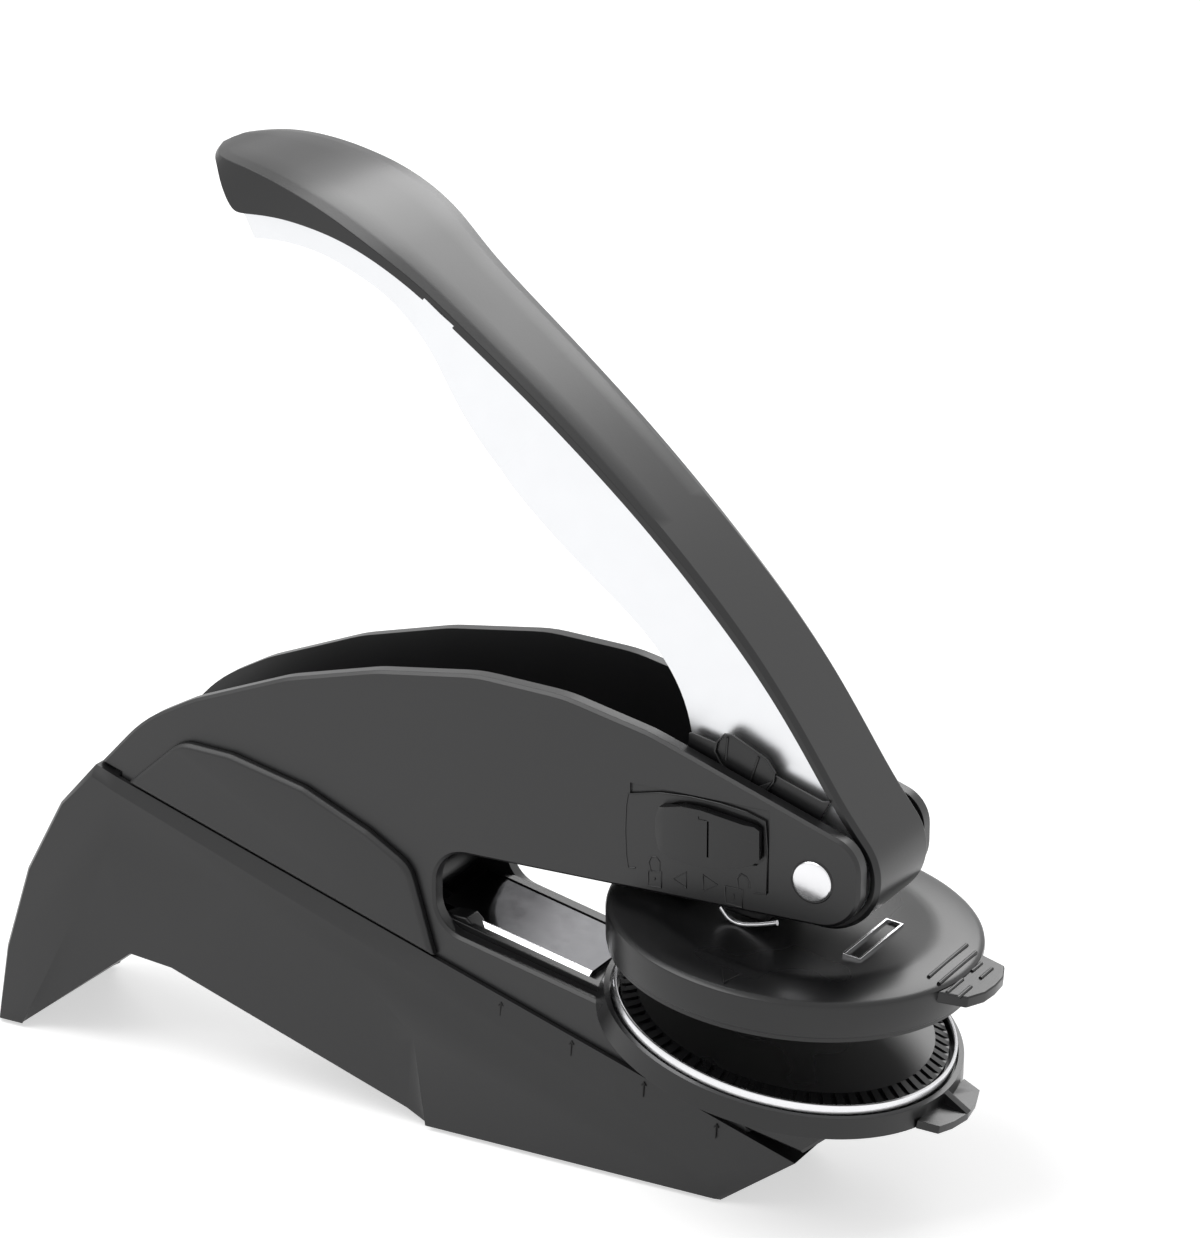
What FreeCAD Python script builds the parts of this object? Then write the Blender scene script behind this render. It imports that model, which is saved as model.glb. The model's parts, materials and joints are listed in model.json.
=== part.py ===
# Hand seal embosser: a narrow moulded shoe carries two steel side plates with a long
# pressing lever between them. The lever's roller pushes the upper die down on the lower one.
#
# X runs to the front, where the dies are, Y to the left and Z up. The origin lies on the
# ground under the middle of the embosser's length. Outlines are drawn from the lever pivot.
import FreeCAD, Part
import math
import os

import Sketcher

doc = FreeCAD.newDocument("SealEmbosser")
sheet = doc.addObject("Spreadsheet::Sheet", "Sizes")


class Size:
    """A number of the sheet, or a sum of them, with the expression that binds it."""

    def __init__(self, value, text):
        self.value = value
        self.text = text

    def __add__(self, other):
        other = as_size(other)
        return Size(self.value + other.value, f"({self.text} + {other.text})")

    def __sub__(self, other):
        other = as_size(other)
        return Size(self.value - other.value, f"({self.text} - {other.text})")

    def __mul__(self, other):
        other = as_size(other)
        return Size(self.value * other.value, f"({self.text} * {other.text})")

    def __truediv__(self, other):
        other = as_size(other)
        return Size(self.value / other.value, f"({self.text} / {other.text})")

    def __neg__(self):
        return Size(-self.value, f"(-{self.text})")

    __radd__ = __add__
    __rmul__ = __mul__


def as_size(number):
    return number if isinstance(number, Size) else Size(float(number), repr(float(number)))


def sine(angle):
    return Size(math.sin(math.radians(angle.value)), f"sin({angle.text})")


def cosine(angle):
    return Size(math.cos(math.radians(angle.value)), f"cos({angle.text})")


class Sizes:
    """The driving sizes, each one a named cell of the sheet."""

    row = 1


def keep_size(name, number):
    """Writes one size into its cell of the sheet, with its name beside it."""
    sheet.set(f"A{Sizes.row}", name)
    sheet.set(f"B{Sizes.row}", str(number))
    sheet.setAlias(f"B{Sizes.row}", name)
    setattr(Sizes, name, Size(float(number), f"Sizes.{name}"))
    Sizes.row += 1


ZERO = Size(0.0, "0")
g = Sizes

sizes = {
    # Lever pivot and the fits
    "pivot_rise": 44.8, "running_clearance": 0.05, "slide_clearance": 0.1, "seat_gap": 0.3,
    "overrun": 2.0,
    # Steel side plates, outline from the pivot: backward and upward
    "plate_outer": 9.9, "plate_wall": 2.0, "frame_length": 102.7, "frame_top": 62.6, "nose_reach": 6.2,
    "nose_low": 39.2, "nose_fillet": 5.2, "nose_top_fillet": 4.4, "back_fillet": 22.0,
    "plate_edge": 0.4,
    "top_tilt": 19.0,
    # Throat, the open slot behind the dies
    "throat_depth": 52.4, "throat_top": 38.3, "throat_fillet": 4.6, "seat_edge_rise": 27.9,
    "arm_nose_reach": 3.2, "arm_nose_height": 12.2, "arm_tail_height": 8.8, "arm_foot_reach": 0.8,
    # Moulded shoe under the plates
    "shoe_back": 102.9, "shoe_back_rise": 40.4, "shoe_tilt": 17.6, "shoe_front": 1.3,
    "shoe_front_rise": 7.7,
    "heel_reach": 120.5, "heel_length": 3.7, "heel_swell_reach": 118.5, "heel_swell_rise": 11.3,
    "heel_upper_reach": 114.5, "heel_upper_rise": 23.3, "heel_top_reach": 108.7, "heel_top_rise": 33.7,
    "arch_back": 98.7, "arch_rise": 14.3, "arch_mid_reach": 92.2, "arch_mid_rise": 13.7,
    "arch_low_reach": 69.0, "arch_low_rise": 6.2,
    "arch_front": 56.5, "arch_front_rise": 2.1, "foot_back": 52.9, "foot_front": 11.4,
    "facet_corner_reach": 100.7, "facet_corner_rise": 29.7, "facet_mid_reach": 80.0,
    "facet_mid_rise": 27.1,
    "facet_low_reach": 62.4, "facet_low_rise": 19.4, "facet_knee_reach": 55.0, "facet_knee_rise": 12.8,
    "facet_toe_reach": 53.4, "facet_heel_reach": 116.2, "facet_inset": 0.6,
    "band_toe_reach": 13.6, "band_toe_rise": 3.5, "band_knee_reach": 26.0, "band_knee_rise": 10.8,
    "shoe_half": 10.6, "shoe_bulge_half": 11.3, "shoe_core_half": 9.2, "trough_depth": 5.0,
    "trough_front": 8.0, "trough_back": 99.8, "band_height": 3.4, "band_back_height": 1.8,
    "pad_proud": 0.3, "pad_sink": 1.0, "pad_half": 6.8, "pad_inset": 0.6,
    "front_pad_length": 10.0, "middle_pad_reach": 36.0,
    # Side panels that cap the rivets
    "panel_proud": 1.3, "panel_gap": 0.3, "panel_edge": 0.5,
    # Floor, spacers and rivets between the plates
    "floor_wall": 2.5, "spacer_radius": 2.4, "rivet_radius": 1.2,
    "rear_spacer_back": 89.0, "rear_spacer_rise": 41.0, "middle_spacer_back": 76.0,
    "middle_spacer_rise": 35.0,
    "front_spacer_back": 58.5, "front_spacer_rise": 30.5, "seat_rivet_back": 10.0,
    "seat_rivet_rise": 16.0,
    "screw_radius": 1.5, "screw_head_radius": 2.9, "screw_head_height": 1.8, "front_screw_back": 30.0,
    "rear_screw_back": 88.0, "front_screw_recess": 6.0, "rear_screw_recess": 5.0,
    # Dies: a disc-shaped holder above and one below, opening towards the front
    "die_back": 8.1, "upper_back": 7.0, "lower_rise": 22.7, "upper_rise": 35.2, "lower_tilt": 12.6,
    "upper_tilt": 6.0,
    "die_radius": 20.6, "die_wall": 2.5, "die_clearance": 0.1, "serration_depth": 0.7,
    "serration_width": 0.7,
    "serration_count": 72, "serration_length": 1.9,
    "ring_gap": 0.5, "ring_wall": 0.7, "lower_lip": 0.7, "lower_flare": 0.5, "lower_height": 3.8,
    "lower_floor": 1.2, "lower_ledge": 1.25,
    "upper_skirt": 1.9, "upper_flare": 0.6, "upper_height": 5.3, "upper_lip_rise": 0.6,
    "upper_lip_step": 0.2, "upper_edge": 0.5, "dome_margin": 6.2, "dome_rise": 0.5, "upper_recess": 2.4,
    "tab_length": 3.8, "lower_tab_length": 3.5, "lower_tab_wall": 1.1, "tab_half": 6.6,
    "tab_wall": 2.2, "gusset_wall": 1.1,
    "window_back": 8.2, "window_front": 11.4, "window_half": 5.9, "window_depth": 0.9, "bar_rise": 0.35,
    # Seat for the lower holder
    "seat_wall": 6.6, "rail_wall": 1.3, "table_drop": 1.2, "seat_back": 52.2,
    "seat_front": 2.4,
    "stop_length": 2.8, "stop_height": 3.2, "stop_half": 5.8,
    # Upper die arm with its hinge behind the throat
    "hinge_back": 66.2, "hinge_rise": 37.1, "hinge_pin_radius": 1.5, "eye_radius": 3.2, "arm_wall": 2.4,
    "arm_half": 5.4, "arm_front": 13.0, "arm_knee": 36.0, "eye_half": 2.9, "hinge_spring_wall": 1.0,
    "block_back": 7.4, "block_front": 1.4, "block_half": 5.4, "block_shoulder": 3.4, "tower_half": 2.6,
    "roller_gap": 0.25, "arm_screw_radius": 1.0, "arm_screw_head": 1.9, "arm_screw_rise": 0.9,
    "arm_screw_back": 15.4,
    "wire_radius": 0.4, "wire_half": 6.3, "wire_back": 14.2, "wire_front": 7.6, "wire_height": 3.0,
    "wire_bend": 1.2,
    # Pivot pin and the lever's bearings
    "pin_radius": 1.8, "pin_head_radius": 2.3, "pin_head_wall": 0.9, "pin_head_proud": 0.2,
    "bushing_radius": 3.4,
    "spring_wall": 1.0, "spring_half": 2.7, "spring_leg_radius": 0.4, "spring_leg_length": 5.0,
    "spring_leg_angle": 110.0,
    # Lever, drawn lying along -X and then raised about the pivot
    "lever_raise": 43.0, "core_half": 6.0, "grip_core_half": 8.6, "core_wall": 1.4, "web_wall": 1.8,
    "hub_radius": 6.2,
    "grip_taper_from": 62.0, "grip_taper_to": 80.0, "cavity_reach": 94.0, "lever_length": 106.7,
    "lever_height": 14.2, "lever_tip_drop": 1.7,
    "cover_half": 6.9, "cover_grip_half": 9.8, "cover_length": 114.6, "cover_height": 16.0,
    "barrel_radius": 7.4,
    "barrel_end": -88.0, "barrel_bevel": 0.7, "cover_gap": 0.05,
    "roller_arm": 11.0, "roller_angle": 26.0, "roller_radius": 3.0, "roller_half": 2.6,
    "roller_pin_radius": 1.1,
    "catch_arm": 14.0, "catch_angle": 18.0, "catch_radius": 1.0, "catch_reach": 6.95,
    "grip_screw_radius": 1.1, "grip_screw_head": 2.2, "grip_screw_head_wall": 1.0,
    "grip_screw_depth": 1.2, "grip_screw_gap": 0.1,
    "first_screw_reach": 34.0, "second_screw_reach": 86.0,
    # Lock slide on the right plate, and its bezel
    "lock_travel": 4.0, "bezel_back": 24.6, "bezel_front": 5.8, "bezel_low": 42.0, "bezel_high": 52.6,
    "bezel_depth": 0.3,
    "button_back": 20.1, "button_front": 6.2, "button_low": 43.8, "button_high": 51.7,
    "button_proud": 1.4,
    "button_fillet": 2.6, "groove_width": 0.9, "groove_depth": 0.5, "groove_margin": 1.3,
    "button_edge": 0.5,
    "stem_back": 15.2, "stem_front": 11.4, "stem_low": 46.0, "stem_high": 49.4,
    "carriage_wall": 0.7, "carriage_back": 18.0, "carriage_front": 1.0, "carriage_low": 43.4,
    "carriage_top": 59.7,
    "carriage_front_top": 54.3, "carriage_chin": 52.0, "carriage_waist_front": 5.4,
    "tooth_back": 11.5, "tooth_front": 8.6, "tooth_low": 44.4, "tooth_high": 46.0, "tooth_reach": 6.15,
    "hook_back": 13.6, "hook_front": 6.0, "hook_lip": 1.5, "hook_wall": 0.6, "hook_rise": 2.5,
    "detent_length": 10.0, "detent_width": 2.2, "detent_drop": 0.4,
}

for name, number in sizes.items():
    keep_size(name, number)
doc.recompute()

# The ring, both holders and their tabs follow the die's radius
ring_outer = g.die_radius + g.ring_gap + g.ring_wall
lower_bore = ring_outer + g.die_clearance
lower_radius = lower_bore + g.lower_lip
lower_tab_reach = lower_radius + g.lower_tab_length
upper_bore = g.die_radius + g.die_clearance
upper_foot_radius = upper_bore + g.upper_skirt
upper_radius = upper_foot_radius + g.upper_flare
tab_reach = upper_radius + g.tab_length

# The origin lies midway between the heel and the front of the upper tab
front_reach = cosine(g.upper_tilt) * tab_reach - g.upper_back
origin_shift = (g.heel_reach - front_reach) / 2
plate_inner = g.plate_outer - g.plate_wall
same_spot = g.running_clearance / 2


def place(piece, back, rise, tilt=None):
    """Puts a piece's own origin at a place given from the pivot, tilted about Y."""
    if tilt is not None:
        angle = tilt.value
        piece.Placement = FreeCAD.Placement(
            FreeCAD.Vector(), FreeCAD.Rotation(FreeCAD.Vector(0, 1, 0), angle))
        piece.setExpression("Placement.Rotation.Angle", f"{tilt.text} * 1deg")
    forward = origin_shift - back
    piece.setExpression("Placement.Base.x", forward.text)
    piece.setExpression("Placement.Base.z", as_size(rise).text)


def new_body(label):
    body = doc.addObject("PartDesign::Body", label)
    body.Label = label
    return body


def plane_of(body, role):
    return next(item for item in body.Origin.OriginFeatures if item.Role == role)


def new_sketch(body, role, offset=ZERO):
    sketch = body.newObject("Sketcher::SketchObject", f"{body.Label}_sketch")
    sketch.AttachmentSupport = [(plane_of(body, role), "")]
    sketch.MapMode = "FlatFace"
    sketch.setExpression("AttachmentOffset.Base.z", offset.text)
    return sketch


def bind(sketch, kind, *where, size):
    index = sketch.addConstraint(Sketcher.Constraint(kind, *where, size.value))
    sketch.setExpression(f"Constraints[{index}]", size.text)


def pin_point(sketch, line, end, across, up):
    """Holds one end of a line at its distances from the sketch's origin."""
    for kind, axis, size in (("DistanceX", -2, across), ("DistanceY", -1, up)):
        if size is ZERO:
            sketch.addConstraint(Sketcher.Constraint("PointOnObject", line, end, axis))
        else:
            bind(sketch, kind, -1, 1, line, end, size=size)


def draw_outline(sketch, points):
    points = [(as_size(a), as_size(b)) for a, b in points]
    spots = [FreeCAD.Vector(a.value, b.value, 0) for a, b in points]
    first = sketch.GeometryCount
    total = len(spots)
    for index, spot in enumerate(spots):
        sketch.addGeometry(Part.LineSegment(spot, spots[(index + 1) % total]), False)
    for index in range(total):
        following = first + (index + 1) % total
        sketch.addConstraint(Sketcher.Constraint("Coincident", first + index, 2, following, 1))
    for index, (across, up) in enumerate(points):
        pin_point(sketch, first + index, 1, across, up)


def draw_circle(sketch, across, up, radius):
    across, up, radius = as_size(across), as_size(up), as_size(radius)
    centre = FreeCAD.Vector(across.value, up.value, 0)
    index = sketch.addGeometry(Part.Circle(centre, FreeCAD.Vector(0, 0, 1), radius.value), False)
    bind(sketch, "Radius", index, size=radius)
    pin_point(sketch, index, 3, across, up)


def feature(body, kind, sketch, length, back=False):
    """A pad or pocket of a sketch, forward or back along the sketch's normal."""
    name = f"{body.Label}_{kind.lower()}"
    item = body.newObject(f"PartDesign::{kind}", name)
    item.Profile = sketch
    item.Reversed = back
    item.setExpression("Length", length.text)
    doc.recompute()
    return item


def side_pad(body, points, near, far):
    """Pads an outline drawn in side view from Y = near to Y = far."""
    sketch = new_sketch(body, "XZ_Plane", -as_size(near))
    draw_outline(sketch, points)
    return feature(body, "Pad", sketch, as_size(far) - near, back=True)


def side_disc(body, across, up, radius, near, far):
    sketch = new_sketch(body, "XZ_Plane", -as_size(near))
    draw_circle(sketch, across, up, radius)
    return feature(body, "Pad", sketch, as_size(far) - near, back=True)


def side_cut(body, points, near, far):
    """Cuts an outline drawn in side view from Y = near to Y = far."""
    before = body.Shape.Volume
    sketch = new_sketch(body, "XZ_Plane", -as_size(near))
    draw_outline(sketch, points)
    item = feature(body, "Pocket", sketch, as_size(far) - near)
    return check_cut(body, item, before)


def side_hole(body, across, up, radius, near, far):
    before = body.Shape.Volume
    sketch = new_sketch(body, "XZ_Plane", -as_size(near))
    draw_circle(sketch, across, up, radius)
    item = feature(body, "Pocket", sketch, as_size(far) - near)
    return check_cut(body, item, before)


def check_cut(body, item, before):
    """Stops the build if a cut pointed away from the material."""
    if body.Shape.Volume > before * (1 - 1e-9):
        raise RuntimeError(f"{body.Label}: a cut removed nothing")
    return item


def plan_pad(body, points, low, high):
    sketch = new_sketch(body, "XY_Plane", as_size(low))
    draw_outline(sketch, points)
    return feature(body, "Pad", sketch, as_size(high) - low)


def plan_cut(body, points, low, high):
    before = body.Shape.Volume
    sketch = new_sketch(body, "XY_Plane", as_size(low))
    draw_outline(sketch, points)
    item = feature(body, "Pocket", sketch, as_size(high) - low, back=True)
    return check_cut(body, item, before)


def rectangle(left, right, low, high):
    return [(left, low), (right, low), (right, high), (left, high)]


def turn_profile(body, points):
    """Turns an outline of radii and heights about the piece's own Z."""
    sketch = new_sketch(body, "XZ_Plane")
    draw_outline(sketch, points)
    item = body.newObject("PartDesign::Revolution", f"{body.Label}_turned")
    item.Profile = sketch
    item.ReferenceAxis = (sketch, ["V_Axis"])
    item.Angle = 360
    doc.recompute()
    return item


def edges_at(body, spots):
    """Names of the edges along Y that stand at the given side-view spots."""
    names = []
    for index, edge in enumerate(body.Shape.Edges, start=1):
        if len(edge.Vertexes) != 2 or edge.Curve.TypeId != "Part::GeomLine":
            continue
        first, last = edge.Vertexes[0].Point, edge.Vertexes[1].Point
        if abs(first.x - last.x) > same_spot.value or abs(first.z - last.z) > same_spot.value:
            continue
        local = body.Placement.inverse().multVec(first)
        for across, up in spots:
            if math.hypot(local.x - across.value, local.z - up.value) < same_spot.value:
                names.append(f"Edge{index}")
    return names


def round_edges(body, names, radius, kind="Fillet"):
    tip = body.Tip
    item = body.newObject(f"PartDesign::{kind}", f"{body.Label}_{kind.lower()}")
    item.Base = (tip, names)
    item.setExpression("Radius" if kind == "Fillet" else "Size", radius.text)
    doc.recompute()
    return item


def face_edges(body, side):
    """Names of the edges that bound the flat face lying furthest to one side along Y."""
    shape = body.Shape
    flats = [face for face in shape.Faces if abs(abs(face.normalAt(0, 0).y) - 1) < 1e-6]
    outer = max(flats, key=lambda face: (round(face.CenterOfMass.y * side, 3), face.Area))
    wire = outer.OuterWire
    names = []
    for index, edge in enumerate(shape.Edges, start=1):
        if any(edge.isSame(other) for other in wire.Edges):
            names.append(f"Edge{index}")
    return names


def cylinder_y(label, across, up, radius, near, far):
    """A plain pin or sleeve along Y, as a body."""
    body = new_body(label)
    side_disc(body, across, up, radius, near, far)
    return body


def shoe_top(back):
    """Height of the shoe's sloping top edge at a distance behind the pivot."""
    slope = sine(g.shoe_tilt) / cosine(g.shoe_tilt)
    return g.shoe_front_rise + (back - g.shoe_front) * slope


def seat_line(back, drop):
    """Height of a line parallel to the lower die, dropped square to the die's rim."""
    slope = sine(g.lower_tilt) / cosine(g.lower_tilt)
    return g.lower_rise + (back - g.die_back) * slope - drop / cosine(g.lower_tilt)


# Side plates

plate_top_shares = (
    (0.934, 0.756), (0.859, 0.822), (0.719, 0.911), (0.590, 0.965), (0.450, 0.998), (0.330, 0.990),
    (0.214, 0.949))
arm_edge_slope = sine(g.lower_tilt) / cosine(g.lower_tilt)
arm_edge_front = g.seat_edge_rise - (g.throat_depth + g.arm_nose_reach) * arm_edge_slope
plate_tail = g.trough_back - g.slide_clearance
plate_heel = g.trough_front + g.slide_clearance
nose_top = g.frame_top * plate_top_shares[-1][1] - (
    g.frame_length * plate_top_shares[-1][0] + g.nose_reach) * sine(g.top_tilt) / cosine(g.top_tilt)


def plate_outline():
    top = [(-(g.frame_length * back), g.frame_top * rise) for back, rise in plate_top_shares]
    return [
        (-g.frame_length, shoe_top(g.frame_length) + g.seat_gap),
        *top,
        (g.nose_reach, nose_top),
        (g.nose_reach, g.nose_low),
        (-g.throat_depth, g.throat_top),
        (-g.throat_depth, g.seat_edge_rise),
        (g.arm_nose_reach, arm_edge_front),
        (g.arm_nose_reach, g.arm_nose_height),
        (-g.arm_foot_reach, g.arm_tail_height),
        (-plate_heel, shoe_top(plate_heel) + g.seat_gap),
        (-plate_heel, shoe_top(plate_heel) - g.trough_depth),
        (-plate_tail, shoe_top(plate_tail) - g.trough_depth),
        (-plate_tail, shoe_top(plate_tail) + g.seat_gap),
    ]


def make_plate(label, side):
    """One steel plate: side is 1 on the left and -1 on the right."""
    body = new_body(label)
    near = plate_inner if side > 0 else -g.plate_outer
    points = plate_outline()
    side_pad(body, points, near, near + g.plate_wall)
    joints = [(as_size(a), as_size(b)) for a, b in points]
    nose = 1 + len(plate_top_shares)
    round_edges(body, edges_at(body, joints[1:nose]), g.back_fillet)
    round_edges(body, edges_at(body, joints[nose:nose + 1]), g.nose_top_fillet)
    round_edges(body, edges_at(body, joints[nose + 1:nose + 2]), g.nose_fillet)
    round_edges(body, edges_at(body, joints[nose + 2:nose + 4]), g.throat_fillet)
    round_edges(body, face_edges(body, side), g.plate_edge, "Chamfer")
    for back, rise, radius in plate_holes():
        side_hole(body, -back, rise, radius + g.running_clearance,
                  near - g.overrun, near + g.plate_wall + g.overrun)
    head_near = g.plate_outer - g.pin_head_wall if side > 0 else -g.plate_outer - g.overrun
    head_far = g.plate_outer + g.overrun if side > 0 else g.pin_head_wall - g.plate_outer
    side_hole(body, ZERO, g.pivot_rise, g.pin_head_radius + g.running_clearance, head_near, head_far)
    if side < 0:
        cut_lock_openings(body)
    place(body, ZERO, ZERO)
    return body


def plate_holes():
    yield ZERO, g.pivot_rise, g.pin_radius
    yield g.hinge_back, g.hinge_rise, g.hinge_pin_radius
    for back, rise in rivet_spots():
        yield back, rise, g.rivet_radius


def rivet_spots():
    return ((g.rear_spacer_back, g.rear_spacer_rise), (g.middle_spacer_back, g.middle_spacer_rise),
            (g.front_spacer_back, g.front_spacer_rise), (g.seat_rivet_back, g.seat_rivet_rise))


def cut_lock_openings(body):
    """The bezel's shallow recess and the window that the slide's stem runs in."""
    side_cut(body, rectangle(-g.bezel_back, -g.bezel_front, g.bezel_low, g.bezel_high),
             -g.plate_outer - g.overrun, g.bezel_depth - g.plate_outer)
    side_cut(body, rectangle(-g.stem_back - g.lock_travel - g.slide_clearance,
                             g.slide_clearance - g.stem_front,
                             g.stem_low - g.slide_clearance, g.stem_high + g.slide_clearance),
             -g.plate_outer - g.overrun, g.overrun - plate_inner)


make_plate("side_plate_right", -1)
make_plate("side_plate_left", 1)


# Moulded shoe

def shoe_outline():
    """The shoe's full side view."""
    return [
        (-g.shoe_back, g.shoe_back_rise - g.seat_gap),
        (-g.trough_back, shoe_top(g.trough_back)),
        (-g.foot_back, shoe_top(g.foot_back)),
        (-g.band_knee_reach, shoe_top(g.band_knee_reach)),
        (-g.shoe_front, g.shoe_front_rise),
        (-g.foot_front, g.pad_proud),
        (-g.foot_back, g.pad_proud),
        (-g.arch_front, g.arch_front_rise),
        (-g.arch_low_reach, g.arch_low_rise),
        (-g.arch_mid_reach, g.arch_mid_rise),
        (-g.arch_back, g.arch_rise),
        (g.heel_length - g.heel_reach, g.pad_proud),
        (-g.heel_reach, g.pad_proud),
        (-g.heel_swell_reach, g.heel_swell_rise),
        (-g.heel_upper_reach, g.heel_upper_rise),
        (-g.heel_top_reach, g.heel_top_rise),
    ]


def shoe_facet_outline():
    """The outermost facet: it stays high over the arch and ends under a bevelled band."""
    ground = g.pad_proud + g.pad_proud
    return [
        (-g.shoe_back - g.pad_proud, g.shoe_back_rise - g.band_back_height),
        (-g.trough_back, shoe_top(g.trough_back) - g.band_back_height),
        (-g.foot_back, shoe_top(g.foot_back) - g.band_height),
        (-g.band_knee_reach, g.band_knee_rise),
        (-g.band_toe_reach, g.band_toe_rise),
        (-g.foot_front - g.facet_inset, ground),
        (-g.facet_toe_reach, ground),
        (-g.facet_knee_reach, g.facet_knee_rise),
        (-g.facet_low_reach, g.facet_low_rise),
        (-g.facet_mid_reach, g.facet_mid_rise),
        (-g.facet_corner_reach, g.facet_corner_rise),
        (-g.facet_heel_reach, ground),
        (g.facet_inset - g.heel_reach, ground),
        (g.facet_inset - g.heel_swell_reach, g.heel_swell_rise),
        (g.facet_inset - g.heel_upper_reach, g.heel_upper_rise),
        (g.facet_inset - g.heel_top_reach, g.heel_top_rise),
    ]


def outline_sketch(body, points, across):
    sketch = new_sketch(body, "XZ_Plane", -as_size(across))
    draw_outline(sketch, points)
    return sketch


def shoe_flank(body, side):
    """The bevelled flank between the full outline and the raised facet."""
    inner = outline_sketch(body, shoe_outline(), g.shoe_core_half * side)
    middle = g.shoe_half if side > 0 else -g.shoe_half
    outer = g.shoe_bulge_half if side > 0 else -g.shoe_bulge_half
    wide = outline_sketch(body, shoe_outline(), middle)
    facet = outline_sketch(body, shoe_facet_outline(), outer)
    for first, last in ((inner, wide), (wide, facet)):
        flank = body.newObject("PartDesign::AdditiveLoft", "shoe_flank")
        flank.Profile = first
        flank.Sections = [last]
        flank.Ruled = True
        doc.recompute()


def make_shoe():
    body = new_body("base_shoe")
    side_pad(body, shoe_outline(), -g.shoe_core_half, g.shoe_core_half)
    shoe_flank(body, -1)
    shoe_flank(body, 1)
    trough_half = g.plate_outer + g.slide_clearance
    floor = [
        (-g.trough_back, shoe_top(g.trough_back) - g.trough_depth - g.slide_clearance),
        (-g.trough_front, shoe_top(g.trough_front) - g.trough_depth - g.slide_clearance),
        (-g.trough_front, g.shoe_back_rise + g.overrun),
        (-g.trough_back, g.shoe_back_rise + g.overrun),
    ]
    side_cut(body, floor, -trough_half, trough_half)
    for left, right in pad_spans():
        plan_cut(body, rectangle(left, right, -g.pad_half - g.slide_clearance, g.pad_half + g.slide_clearance),
                 -g.overrun, g.pad_sink + g.pad_proud)
    for back, recess in ((g.front_screw_back, g.front_screw_recess), (g.rear_screw_back, screw_floor())):
        vertical_hole(body, -back, g.screw_head_radius + g.slide_clearance, -g.overrun, recess)
        vertical_hole(body, -back, g.screw_radius + g.running_clearance, -g.overrun, g.shoe_back_rise)
    place(body, ZERO, ZERO)
    return body


def screw_floor():
    """Height at which the rear screw's head bears inside the arch."""
    return g.arch_rise + g.rear_screw_recess


def vertical_hole(body, across, radius, low, high):
    before = body.Shape.Volume
    sketch = new_sketch(body, "XY_Plane", as_size(low))
    draw_circle(sketch, across, ZERO, radius)
    item = feature(body, "Pocket", sketch, as_size(high) - low, back=True)
    return check_cut(body, item, before)


def pad_spans():
    """Front and back of each rubber pad under the feet."""
    yield -g.foot_front - g.front_pad_length - g.overrun, -g.foot_front - g.overrun
    yield -g.middle_pad_reach - g.front_pad_length, -g.middle_pad_reach
    yield g.pad_inset - g.heel_reach, g.heel_length - g.heel_reach - g.pad_inset


make_shoe()


def group(label, pieces):
    """Several separate solids kept as one node."""
    compound = doc.addObject("Part::Compound", label)
    compound.Label = label
    compound.Links = pieces
    return compound


def make_pads():
    pieces = []
    for index, (left, right) in enumerate(pad_spans()):
        pad = doc.addObject("Part::Box", f"foot_pad_{index}")
        pad.setExpression("Length", (right - left - g.slide_clearance - g.slide_clearance).text)
        pad.setExpression("Width", (g.pad_half + g.pad_half).text)
        pad.setExpression("Height", (g.pad_sink + g.pad_proud).text)
        pad.setExpression("Placement.Base.x", (left + origin_shift + g.slide_clearance).text)
        pad.setExpression("Placement.Base.y", (-g.pad_half).text)
        pieces.append(pad)
    return group("foot_pads", pieces)


make_pads()


def make_base_screws():
    pieces = []
    for name, back, seat in (("front", g.front_screw_back, g.front_screw_recess),
                             ("rear", g.rear_screw_back, screw_floor())):
        body = new_body(f"base_screw_{name}")
        end = shoe_top(back) - g.trough_depth + g.floor_wall - g.seat_gap
        for radius, low, high in ((g.screw_head_radius, seat - g.screw_head_height, seat),
                                  (g.screw_radius, seat, end)):
            sketch = new_sketch(body, "XY_Plane", low)
            draw_circle(sketch, -back, ZERO, radius)
            feature(body, "Pad", sketch, high - low)
        place(body, ZERO, ZERO)
        pieces.append(body)
    return group("base_screws", pieces)


make_base_screws()


# Side panels

panel_top_shares = ((0.872, 0.733), (0.797, 0.728), (0.691, 0.690), (0.599, 0.626), (0.540, 0.569))
panel_front_share = 0.507


def panel_outline():
    back = g.trough_back - g.overrun
    front = g.frame_length * panel_front_share
    top = [(-(g.frame_length * along), g.frame_top * rise) for along, rise in panel_top_shares]
    return [(-back, shoe_top(back) + g.panel_gap), *top, (-front, shoe_top(front) + g.panel_gap)]


def make_panel(label, side):
    body = new_body(label)
    near = g.plate_outer if side > 0 else -g.plate_outer - g.panel_proud
    side_pad(body, panel_outline(), near, near + g.panel_proud)
    joints = [(as_size(a), as_size(b)) for a, b in panel_outline()]
    round_edges(body, edges_at(body, joints[1:1 + len(panel_top_shares)]), g.throat_fillet)
    round_edges(body, face_edges(body, side), g.panel_edge, "Chamfer")
    place(body, ZERO, ZERO)
    return body


make_panel("side_panel_right", -1)
make_panel("side_panel_left", 1)


# Channel floor, spacers and rivets

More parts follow.
